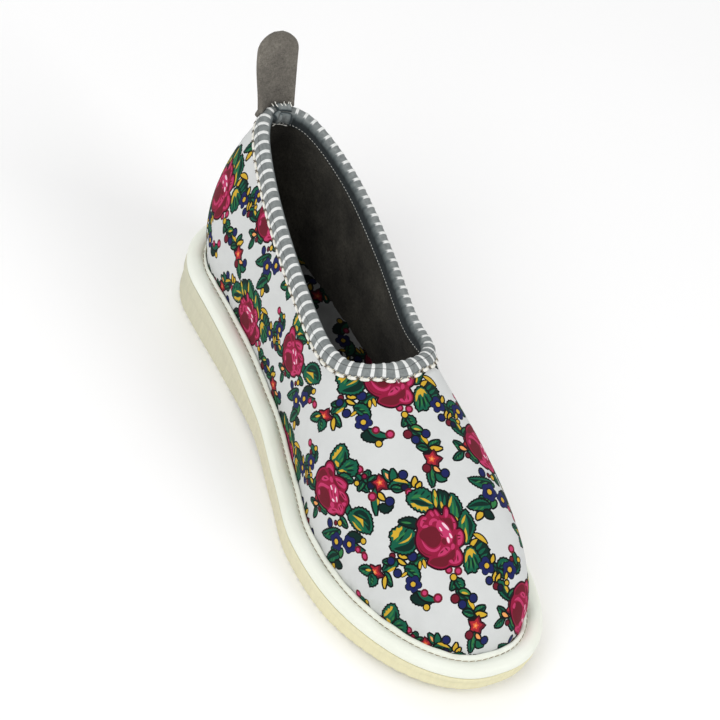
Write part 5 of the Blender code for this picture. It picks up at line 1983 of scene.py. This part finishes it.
def sew_collar(tree, cream, white, brown):
    """Overlock along the ribbon's outer edge, with a white loop for every stripe, and the seam inside."""
    stripes = stripe_places()
    count = round(stripes[-1] - stripes[0])
    at = np.arange(len(stripes))
    ties = np.interp(np.arange(count) + 1 + WHITE_SHARE / 2, stripes, at)
    loops = np.interp(np.arange(count) + 0.5 + WHITE_SHARE / 2, stripes, at)
    strands = np.interp(np.arange(2 * count) / 2 + 0.25 + WHITE_SHARE / 2, stripes, at)
    rows = below_ribbon([BINDING_DROP + 0.55, BINDING_DROP + 0.35, BINDING_DROP - 0.2])
    normals = face_normals(rows)

    def row(level, places, lift):
        ring = rows[level] + normals[level] * lift
        return ring_between(ring, places), unit(ring_between(normals[level], places))

    rings, shown = binding_rings()
    ring, normal = rings[shown - 2], face_normals(rings[:shown])[shown - 2]
    places = evenly(ring, 1.6)
    inside = ring_between(ring, places), ring_between(normal, places)
    for name, (points, out), size, lean, thread in (
        ("collar_loops", row(0, loops, 0.75), (4.9, 1.65, 1.3), 0, white),
        ("collar_ties_left", row(1, ties, 1.2), (2.6, 0.46, 0.42), 55, brown),
        ("collar_ties_right", row(1, ties, 1.2), (2.6, 0.46, 0.42), -55, brown),
        ("collar_overlock", row(2, strands, 1.05), (1.9, 0.45, 0.4), 34, cream),
        ("collar_inside_seam", inside, (1.1, 0.4, 0.34), 0, white),
    ):
        sewn(tree, name, points, out, size, lean, thread)


def sew_joint(tree, white):
    """White hand stitches that hold the ribbon's ends: a row under the fold, and threads over the rim."""
    rings, shown = binding_rings()
    normals = face_normals(rings[:shown])
    fold, rim = JOINT_FOLDS[:2]
    over_rim = JOINT_LIFT + rim.thickness
    for name, level, lift, places, size, lean in (
        ("joint_seam", shown - 2, 1.5, (-1.5, 0.0, 1.6, 3.0, 4.6), (2.0, 0.65, 0.55), 4),
        ("joint_threads_left", rim.first, over_rim, (-4.4, -2.8, -0.4, 1.8, 2.6), (2.2, 0.5, 0.45), 68),
        ("joint_threads_right", rim.first + 2, over_rim, (-3.7, -1.3, 0.5, 3.3), (1.8, 0.5, 0.45), 112),
    ):
        offsets = fold.middle + np.array(places)
        out = unit(beside_heel(normals[level], offsets))
        points = beside_heel(rings[level], offsets) + out * lift
        sewn(tree, name, points, out, size, lean, white, False)


WELT_SEAM_INSET = 7.45
WELT_SEAM_HEIGHT = 3.7
WELT_STITCH = 3.0


def sew_welt(tree, tan):
    """Tan seam in the welt's groove."""
    ring = inset_ring(WELT_SEAM_INSET)
    seam = raised(ring, top_of_sole(ring) + WELT_SEAM_HEIGHT)
    places = evenly(seam, WELT_STITCH)
    up = np.tile([0.0, 0.0, 1.0], (len(places), 1))
    sewn(tree, "welt_seam", ring_between(seam, places), up, (3.1, 0.4, 0.42), 4, tan)


# Floor, light and camera


EYE = Vector((-0.4755, -0.5055, 0.7683))
AIM = Vector((0.0103, 0.0191, 0.0400))
ROLL = 21.48
LENS = 114.45
FLOOR_REACH = 4.0
SKY_LIGHT = 0.57


def make_camera():
    data = bpy.data.cameras.new("camera")
    data.lens = LENS
    data.sensor_width = 36
    data.clip_end = 20
    camera = put("camera", data)
    turn = (AIM - EYE).to_track_quat("-Z", "Y").to_matrix().to_4x4()
    camera.matrix_world = Matrix.Translation(EYE) @ turn @ Matrix.Rotation(math.radians(ROLL), 4, "Z")
    bpy.context.scene.camera = camera


def make_floor():
    mesh = bpy.data.meshes.new("floor")
    reach = FLOOR_REACH
    corners = [(-reach, -reach, 0), (reach, -reach, 0), (reach, reach, 0), (-reach, reach, 0)]
    mesh.from_pydata(corners, [], [(0, 1, 2, 3)])
    mesh.materials.append(make_paper())
    put("floor", mesh)


def make_lights():
    scene = bpy.context.scene
    scene.world = bpy.data.worlds.new("studio")
    scene.world.use_nodes = True
    background = scene.world.node_tree.nodes["Background"].inputs
    background["Color"].default_value = (1.0, 1.0, 1.0, 1.0)
    background["Strength"].default_value = SKY_LIGHT
    for name, place, size, power in (
        ("key", (-1.25, -0.3, 1.2), 1.1, 12.5),
        ("fill", (0.8, -1.2, 1.1), 1.0, 9.5),
        ("back", (0.5, 1.3, 1.5), 1.2, 5.0),
    ):
        data = bpy.data.lights.new(name, "AREA")
        data.size = size
        data.energy = power
        lamp = put(name, data)
        lamp.location = place
        lamp.rotation_euler = (-Vector(place)).to_track_quat("-Z", "Y").to_euler()
    scene.view_settings.view_transform = "Standard"


def main():
    make_camera()
    make_floor()
    make_lights()
    make_welt(make_leatherette())
    make_lining(make_felt("lining_felt", linear(39, 37, 34), linear(92, 89, 80), 0.3))
    make_upper_cloth(make_cotton("printed_cotton", 0.94, 1.0))
    make_binding(make_ribbon())
    tree = stitch_tree()
    cream = make_thread("cream_thread", linear(200, 192, 168), linear(232, 226, 208))
    white = make_thread("white_thread", linear(222, 220, 210), linear(244, 243, 236))
    brown = make_thread("brown_thread", linear(66, 56, 44), linear(122, 108, 88))
    tan = make_thread("tan_thread", linear(112, 99, 80), linear(166, 152, 128))
    sew_collar(tree, cream, white, brown)
    sew_joint(tree, white)
    sew_welt(tree, tan)
    make_outsole(make_rubber())
    # The sock's cotton is set to 0.21 to 0.28 of its print. This is painted shade of the shoe's inside, not the
    # sock's own colour.
    make_insole(make_cotton("sock_cotton_painted_shade", 0.21, 0.28))
    make_tab(make_felt("tab_felt", linear(97, 93, 87), linear(132, 127, 118), 0.35))


main()
